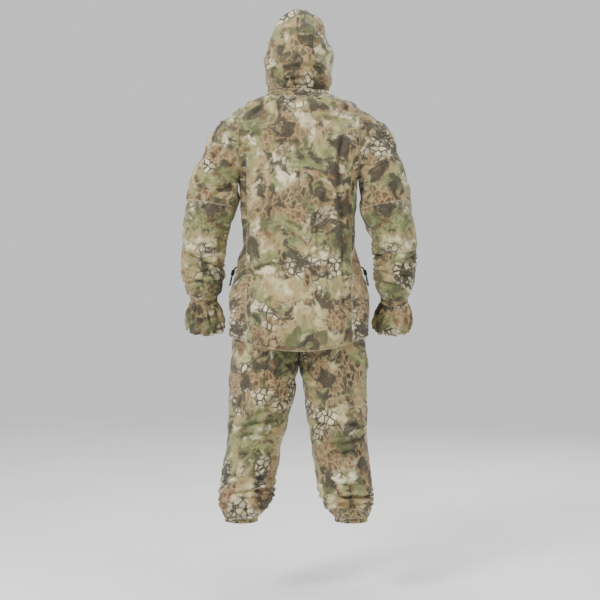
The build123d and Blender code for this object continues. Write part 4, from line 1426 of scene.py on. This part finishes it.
TOOTH_FACES = (
    [(2 * k, 2 * k + 1, 2 * k + 3, 2 * k + 2) for k in range(3)]
    + [(8 + 2 * k, 8 + 2 * k + 2, 8 + 2 * k + 3, 8 + 2 * k + 1) for k in range(3)]
    + [(2 * k, 2 * k + 2, 2 * k + 10, 2 * k + 8) for k in range(3)]
    + [(2 * k + 1, 2 * k + 9, 2 * k + 11, 2 * k + 3) for k in range(3)]
    + [(0, 8, 9, 1), (6, 7, 15, 14)]
)
TOOTH_PITCH = 0.0032
for side, sign in SIDES:
    points, faces = [], []
    offset = 0.0 if sign > 0 else TOOTH_PITCH / 2
    for along in np.arange(-ZIP_LENGTH + 0.009 + offset, -0.005, TOOTH_PITCH):
        base = len(points)
        points += tooth(sign * 0.0027, 0.005, along, sign)
        faces += [tuple(base + k for k in face) for face in TOOTH_FACES]
    chain = plain_object(f"zip_teeth_{side}", [tuple(p) for p in points], faces)
    dress(chain, "zip_plastic")
    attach(chain, "garment")
    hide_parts(f"zip_chain_{side}")
    rows, columns = 180, 7
    down = np.linspace(0, -ZIP_LENGTH, rows)
    out = np.linspace(0.0032, 0.0148, columns)
    grid = []
    for along in down:
        behind = 0.0050 + 0.0004 * math.sin(along * 90)
        grid.append([zip_point(sign * x, behind, along) for x in out])
    grid = np.array(grid)
    flat_normal = np.broadcast_to(np.array(-ZIP_BACK), grid.shape)
    faces = outward(grid_faces(rows, columns, closed=False), sign < 0)
    corners = np.stack(np.meshgrid(down, out, indexing="ij"), -1).reshape(-1, 2)[faces]
    tape = fabric(
        f"zip_tape_strip_{side}", grid, flat_normal, corners, faces, np.ones(len(faces), bool), 0.0007
    )
    dress(tape, "zip_tape")
    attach(tape, "garment")
    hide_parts(f"zip_tape_{side}")

# ---- hood ---------------------------------------------------------------------------------------
HOOD_KNOT, _ = face_middles(hood)
NECK_TOP = 1.582  # top of the hood's neck piece
FACE_Y, FACE_HEM = -0.088, 0.024
HOOD_STRIP = 0.046  # half width of the strip over the top of the hood
middle_y = (hood.smooth[:-1, :, 1] + hood.smooth[1:, :, 1]) / 2
middle_x = (hood.smooth[:-1, :, 0] + hood.smooth[1:, :, 0]) / 2
on_neck = HOOD_KNOT < NECK_TOP
columns = hood.points.shape[1]
column_number = np.arange(columns)
chin_gap = (column_number < 1) | (column_number >= columns - 1)
on_hem = ~on_neck & (middle_y < FACE_Y + FACE_HEM) & (middle_y > FACE_Y - 0.012)
on_strip = ~on_neck & (middle_y >= FACE_Y + FACE_HEM) & (np.abs(middle_x) < HOOD_STRIP)
on_side = ~on_neck & (middle_y >= FACE_Y + FACE_HEM) & ~on_strip
smooth_hood = hood.wrapped(hood.smooth)
strip_place = np.stack([smooth_hood[..., 0] + 0.3, hood.place[..., 1]], -1)
side_place = smooth_hood[..., 1:] * np.sign(smooth_hood[..., :1]) + np.array([1.1, 0.4])
hood_parts = {
    "hood_neck": panel("hood_neck_piece", hood, on_neck & ~chin_gap[None, :]),
    "hood_face_hem": panel("hood_face_hem_band", hood, on_hem, place=side_place),
    "hood_center": panel("hood_center_strip", hood, on_strip, rim=False, place=strip_place),
}
for side, sign in SIDES:
    keep = on_side & (middle_x * sign > 0)
    name = f"hood_side_panel_{side}"
    hood_parts[f"hood_side_{side}"] = panel(name, hood, keep, rim=False, place=side_place)
cut_off(hood_parts["hood_face_hem"], (0, FACE_Y, 0), (0, -1, 0))
CUTS["hood_face_hem_band"] = hood.flat_size(on_hem & (middle_y > FACE_Y))
for node_name, thing in hood_parts.items():
    dress(thing, "camouflage")
    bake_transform(thing)
    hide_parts(node_name)


def hood_angle(knot, y=None, x=None):
    """Angle on the hood's tube where it reaches a depth or a distance from the middle."""
    row = smooth_line(HOOD.knots, HOOD.rows, np.asarray(knot, float))
    if y is not None:
        return np.arccos(np.clip((y - row[..., 1]) / row[..., 7], -1, 1))
    return np.arcsin(np.clip(x / row[..., 6], -1, 1))


opening = []
for sign in (1, -1):
    knot = np.linspace(NECK_TOP + 0.001, 1.8075, 90)
    line, out = hood.sample(knot, sign * hood_angle(knot, y=FACE_Y), -0.0006)
    line[:, 1] = FACE_Y
    opening.append(line if sign > 0 else line[::-1])
edge_roll = tube_along("hood_face_edge_roll", np.concatenate(opening), 0.0022)
dress(edge_roll, "camouflage")
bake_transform(edge_roll)

hood_seams = []
for sign in (1, -1):
    knot = np.linspace(NECK_TOP + 0.004, 1.795, 120)
    for inset in (FACE_HEM - 0.002, 0.004):
        hood_seams.append(hood.sample(knot, sign * hood_angle(knot, y=FACE_Y + inset), 0.0003))
    knot = np.linspace(NECK_TOP + 0.004, 1.812, 120)
    for x in (HOOD_STRIP - 0.0025, HOOD_STRIP + 0.0025):
        hood_seams.append(hood.sample(knot, sign * hood_angle(knot, x=x), 0.0003))
turn = np.linspace(-2.6, 2.6, 160)
for knot in (NECK_TOP - 0.003, NECK_TOP + 0.003):
    hood_seams.append(hood.sample(np.full(turn.shape, knot), turn, 0.0003))
hood_thread = stitches("hood_seam_stitching", hood_seams)
dress(hood_thread, "camouflage", "thread")
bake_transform(hood_thread)

# ---- sleeves ------------------------------------------------------------------------------------
SLEEVE_SPLIT = 0.180  # along the sleeve, above the elbow's bend
for side, sign in SIDES:
    sleeve = sleeves[side]
    knot, _ = face_middles(sleeve)
    upper = panel(f"upper_sleeve_panel_{side}", sleeve, knot < SLEEVE_SPLIT, rim=False)
    lower = panel(f"lower_sleeve_panel_{side}", sleeve, knot >= SLEEVE_SPLIT, rim=False)
    dress(upper, "camouflage")
    dress(lower, "camouflage")
    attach(upper, f"upper_arm_{side}")
    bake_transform(lower)
    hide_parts(f"upper_sleeve_{side}")
    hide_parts(f"lower_sleeve_{side}")
    elbow = patch(
        f"elbow_reinforcement_{side}", sleeve, (0.245, 0.385), (-1.25, 1.25), 0.0014,
        rows=30, columns=34, seed=7,
    )
    lines = [seam_line(sleeve, (k, k), (-1.2, 1.2), out=0.0016) for k in (0.249, 0.381)]
    lines += [seam_line(sleeve, (0.249, 0.381), (a, a), out=0.0016) for a in (-1.2, 1.2)]
    elbow_thread = stitches(f"elbow_stitching_{side}", lines)
    for thing, material in ((elbow, "camouflage"), (elbow_thread, "thread")):
        dress(thing, "camouflage", material)
        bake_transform(thing)
    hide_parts(f"elbow_patch_{side}")
    armhole = [seam_line(sleeve, (k, k), (-math.pi, math.pi), 200, 0.0004) for k in (0.006, 0.012)]
    ring_line, _ = sleeve.sample(np.full(160, 0.0008), np.linspace(-math.pi, math.pi, 161)[:160], -0.0004)
    seam_roll = tube_along(f"armhole_seam_{side}", np.concatenate([ring_line, ring_line[:1]]), 0.0026)
    dress(seam_roll, "camouflage")
    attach(seam_roll, "garment")
    armhole_thread = stitches(f"armhole_stitching_{side}", armhole)
    dress(armhole_thread, "camouflage", "thread")
    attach(armhole_thread, f"upper_arm_{side}")

    # the wrist's elastic, and the cuff gathered into it
    ring = Cloth(f"wrist_{side}", SLEEVE, np.linspace(0.536, 0.554, 10)[:, None], 128, sign < 0)
    ring.refine()
    ribs = np.sin(ring.angles * 44)[None, :] * 0.0010 + 0.0005
    across = np.sin(np.linspace(0, 3 * math.pi, ring.points.shape[0]))[:, None] * 0.0006
    ring.push(ribs + across)
    wrist = panel(f"wrist_elastic_band_{side}", ring, whole(ring))
    dress(wrist, "elastic", "camouflage")
    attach(wrist, f"forearm_{side}")
    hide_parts(f"wrist_elastic_{side}")

    cuff_knots = np.linspace(0.0, 0.092, 20)[:, None]
    cuff = Cloth(f"cuff_{side}", CUFF, cuff_knots, 120, sign < 0, (2.3, 0.4 * sign))
    cuff.refine()
    share = np.linspace(0, 1, len(cuff.points))[:, None]
    angle = cuff.angles[None, :] + 0.25 * np.sin(share * 2.2 + sign)
    phase = 1.3 if sign > 0 else 2.9
    flutes = 0.0011 * np.sin(44 * cuff.angles[None, :]) * np.clip(1 - share * 4, 0, 1)
    flutes = flutes + 0.0042 * np.sin(13 * angle + phase) * np.clip(share * 4, 0, 1) * (1 - 0.35 * share)
    flutes = flutes + 0.0030 * np.sin(7 * angle + 2.1 * phase) * np.clip(share * 2, 0, 1)
    flutes = flutes + 0.0022 * np.sin(22 * angle + 3 * share) * bump(share, 0.10, 0.35, 0.15)
    flutes = flutes - 0.0016 * bump(share, 0.865, 0.875, 0.04)
    flutes = flutes + waves(cuff.points, 140 + int(sign), 0.035, 0.0010) * np.clip(share * 4, 0, 1)
    cuff.push(flutes)
    bell = panel(f"cuff_frill_{side}", cuff, whole(cuff))
    dress(bell, "camouflage")
    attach(bell, f"forearm_{side}")
    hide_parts(f"cuff_{side}")
    hem = [seam_line(cuff, (k, k), (-math.pi, math.pi), 160, 0.0004) for k in (0.0795, 0.0815)]
    cuff_thread = stitches(f"cuff_stitching_{side}", hem)
    dress(cuff_thread, "camouflage", "thread")
    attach(cuff_thread, f"forearm_{side}")

# ---- trousers -----------------------------------------------------------------------------------
HIPS = level_tube(
    [
        (0.915, 0.195, -0.114, 0.124),
        (1.000, 0.178, -0.110, 0.114),
        (1.045, 0.166, -0.108, 0.102),
        (1.085, 0.158, -0.106, 0.098),
        (1.170, 0.158, -0.106, 0.098),
    ]
)
seat = Cloth("seat", HIPS, np.linspace(1.085, 0.918, 20)[:, None], 110, origin=(3.1, 0.2))
seat.refine()
share = np.linspace(0, 1, len(seat.points))[:, None]
gathers = 0.0022 * np.sin(38 * seat.angles[None, :]) * np.clip(1 - share * 2.2, 0, 1)
seat.push(gathers + waves(seat.points, 150, 0.09, 0.0025) * np.clip(share * 3, 0, 1))
_, seat_angle = face_middles(seat)
for half, keep in (("back", np.abs(seat_angle) < math.pi / 2), ("front", np.abs(seat_angle) > math.pi / 2)):
    thing = panel(f"trouser_seat_{half}", seat, keep)
    dress(thing, "camouflage")
    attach(thing, "garment")
    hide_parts(f"trouser_hips_{half}")
for node_name, heights, out, slot in (
    ("waistband", (1.162, 1.0855), 0.0, "camouflage"),
    ("waistband_elastic", (1.150, 1.090), -0.0038, "elastic"),
):
    band = Cloth(node_name, HIPS, np.linspace(*heights, 12)[:, None], 160, origin=(3.9, 0.7))
    band.refine()
    channels = 0.0007 * np.cos(np.linspace(0, 6 * math.pi, len(band.points)))[:, None]
    band.push(out + channels + 0.0013 * np.sin(52 * band.angles[None, :]))
    thing = panel(f"{node_name}_gathered", band, whole(band))
    dress(thing, slot)
    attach(thing, "garment")
    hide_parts(node_name)

SHIN_TOP = 0.655
for side, sign in SIDES:
    cloth = legs[side]
    knot, angle = face_middles(cloth)
    thigh = panel(f"thigh_panel_{side}", cloth, knot > SHIN_TOP, rim=False)
    shin = panel(f"shin_panel_{side}", cloth, knot <= SHIN_TOP, rim=False)
    middle_x = {"left": 0.121, "right": -0.116}[side]
    dress(thigh, "camouflage")
    dress(shin, "camouflage")
    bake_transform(thigh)
    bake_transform(shin)
    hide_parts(f"thigh_{side}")
    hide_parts(f"shin_{side}")
    knee = patch(
        f"knee_reinforcement_{side}", cloth, (0.620, 0.440), (math.pi - 1.15, math.pi + 1.15), 0.0014,
        rows=38, columns=40, seed=9,
    )
    lines = [
        seam_line(cloth, (k, k), (math.pi - 1.11, math.pi + 1.11), out=0.0016) for k in (0.615, 0.445)
    ]
    lines += [seam_line(cloth, (0.615, 0.445), (math.pi + a,) * 2, out=0.0016) for a in (-1.11, 1.11)]
    knee_thread = stitches(f"knee_stitching_{side}", lines)
    for thing, material in ((knee, "camouflage"), (knee_thread, "thread")):
        dress(thing, "camouflage", material)
        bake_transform(thing)
    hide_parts(f"knee_patch_{side}")
    ring = Cloth(f"ankle_{side}", LEG[side], np.linspace(0.2600, 0.2405, 10)[:, None], 128)
    ring.refine()
    channels = np.sin(np.linspace(0, 3 * math.pi, len(ring.points)))[:, None] * 0.0006
    ring.push(np.sin(ring.angles * 46)[None, :] * 0.0011 + channels)
    ankle = panel(f"ankle_elastic_band_{side}", ring, whole(ring))
    dress(ankle, "elastic", "camouflage")
    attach(ankle, f"shin_{side}")
    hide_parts(f"ankle_elastic_{side}")

# ---- seams of the jacket ------------------------------------------------------------------------
seams = []
for sign in (1, -1):
    knot = np.linspace(SIDE_SEAM_TOP, 0.842, 180)
    for shift in (-0.0030, 0.0030):
        x = np.full(knot.shape, sign * (SIDE_SEAM + shift))
        seams.append(torso.sample(knot, back_angle(x, knot), 0.0004))
    knot = np.linspace(1.545, 0.800, 240)
    seams.append(torso.sample(knot, front_angle(np.full(knot.shape, sign * 0.0110), knot), 0.0003))
    seams.append(torso.sample(knot, front_angle(np.full(knot.shape, sign * 0.0210), knot), 0.0003))
turn = np.linspace(-math.pi + 0.12, math.pi - 0.12, 420)
for rise in (0.006, 0.020):
    seams.append(torso.sample(hem_height(0.216 * np.sin(turn)) + rise, turn, 0.0003))
turn = np.linspace(-math.pi + 0.1, math.pi - 0.1, 300)
seams.append(torso.sample(np.full(turn.shape, 1.549), turn, 0.0003))
for knot in (1.021, 1.047):
    seams.append(torso.sample(np.full(turn.shape, knot), turn, 0.0003))
jacket_thread = stitches("jacket_seam_stitching", seams)
dress(jacket_thread, "camouflage", "thread")
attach(jacket_thread, "garment")

# ---- the waist drawcord's loops -----------------------------------------------------------------
CORD_ROUTE = (
    (0.1888, -0.0325, -0.5410), (0.1981, -0.0342, -0.5416), (0.2053, -0.0334, -0.5521),
    (0.2118, -0.0333, -0.5742), (0.2138, -0.0368, -0.5881), (0.2172, -0.0343, -0.6007),
    (0.2192, -0.0235, -0.6002), (0.2167, -0.0211, -0.5874), (0.2133, -0.0250, -0.5738),
    (0.2069, -0.0247, -0.5517), (0.2003, -0.0224, -0.5410), (0.1910, -0.0207, -0.5405),
)
CORD_DIAMETER, CORD_LENGTH = 0.003, 0.1518
for side, sign in SIDES:
    curve = bpy.data.curves.new(f"waist_drawcord_{side}", "CURVE")
    curve.dimensions = "3D"
    spline = curve.splines.new("NURBS")
    spline.points.add(len(CORD_ROUTE) - 1)
    for point, (x, y, z) in zip(spline.points, CORD_ROUTE):
        point.co = (sign * x, y, z, 1.0)
    spline.order_u = 3
    spline.use_endpoint_u = True
    curve.bevel_depth = CORD_DIAMETER / 2
    curve.bevel_resolution = 4
    curve.resolution_u = 10
    curve.use_fill_caps = True
    drawcord = bpy.data.objects.new(f"waist_drawcord_{side}", curve)
    bpy.context.scene.collection.objects.link(drawcord)
    dress(drawcord, "cord")
    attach(drawcord, "garment")
    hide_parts(f"waist_cord_{side}")

# ---- CAD nodes whose shape is right get their own materials ------------------------------------
KEPT_NODES = {"waistband_button": "button", "zip_slider": "eyelet", "zip_pull": "eyelet"}
for side, _ in SIDES:
    KEPT_NODES[f"chest_button_{side}"] = "button"
    KEPT_NODES[f"hip_button_{side}"] = "button"
    KEPT_NODES[f"hood_eyelet_{side}"] = "eyelet"
    KEPT_NODES[f"waist_cord_lock_{side}"] = "cord_lock"
for node_name, slot in KEPT_NODES.items():
    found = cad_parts[node_name]
    for thing in found if isinstance(found, list) else [found]:
        for material_slot in thing.material_slots:
            material_slot.material = MATERIALS[slot]

# ---- the flat size of every sheet of cloth ------------------------------------------------------
HEM_STRIP = 0.036  # width of the strip that the hem round the face is cut from
for name, (width, length, area) in CUTS.items():
    if name == "hood_face_hem_band":
        width, length = area / HEM_STRIP, HEM_STRIP
    thing = bpy.data.objects[name]

# ---- floor, lights and camera -------------------------------------------------------------------
floor = plain_object(
    "floor", [(-6, -6, up(0)), (6, -6, up(0)), (6, 6, up(0)), (-6, 6, up(0))], [(0, 1, 2, 3)]
)
floor_shade = Shade("pale_floor")
floor_place = floor_shade.place()
floor_tone = floor_shade.ramp(
    floor_shade.noise(floor_place, 0.5)["Fac"],
    ((0.3, colour(236, 236, 234)), (0.7, colour(242, 242, 240))),
)
floor_rough = floor_shade.ramp(floor_shade.noise(floor_place, 0.2)["Fac"], ((0.3, 0.8), (0.7, 0.9)))
floor.data.materials.append(floor_shade.finish(floor_tone, floor_rough))

world = bpy.data.worlds.new("studio")
world.use_nodes = True
world.node_tree.nodes["Background"].inputs["Color"].default_value = (0.93, 0.94, 0.95, 1)
world.node_tree.nodes["Background"].inputs["Strength"].default_value = 0.85
bpy.context.scene.world = world


def area_light(name, place, target, size, energy):
    """A soft square light aimed at a point."""
    light = bpy.data.lights.new(name, "AREA")
    light.energy, light.size = energy, size
    lamp = bpy.data.objects.new(name, light)
    bpy.context.scene.collection.objects.link(lamp)
    lamp.location = place
    aim = Vector(place) - Vector(target)
    lamp.rotation_euler = aim.to_track_quat("Z", "Y").to_euler()


area_light("key_light", (2.3, 3.0, 1.6), (0, 0, -0.5), 1.0, 190)
area_light("fill_light", (-2.6, 2.6, 0.8), (0, 0, -0.6), 2.0, 38)
area_light("front_light", (-1.8, -3.0, 1.6), (0, 0, -0.5), 1.8, 70)
area_light("top_light", (0, 0.4, 2.6), (0, 0, 0), 1.6, 60)

camera = bpy.data.objects.new("camera", bpy.data.cameras.new("camera"))
bpy.context.scene.collection.objects.link(camera)
camera.location = (-0.003, 4.0, up(0.930))
camera.rotation_euler = (math.pi / 2, 0, math.pi)
camera.data.sensor_fit = "VERTICAL"
camera.data.angle = math.radians(26.4)
bpy.context.scene.camera = camera
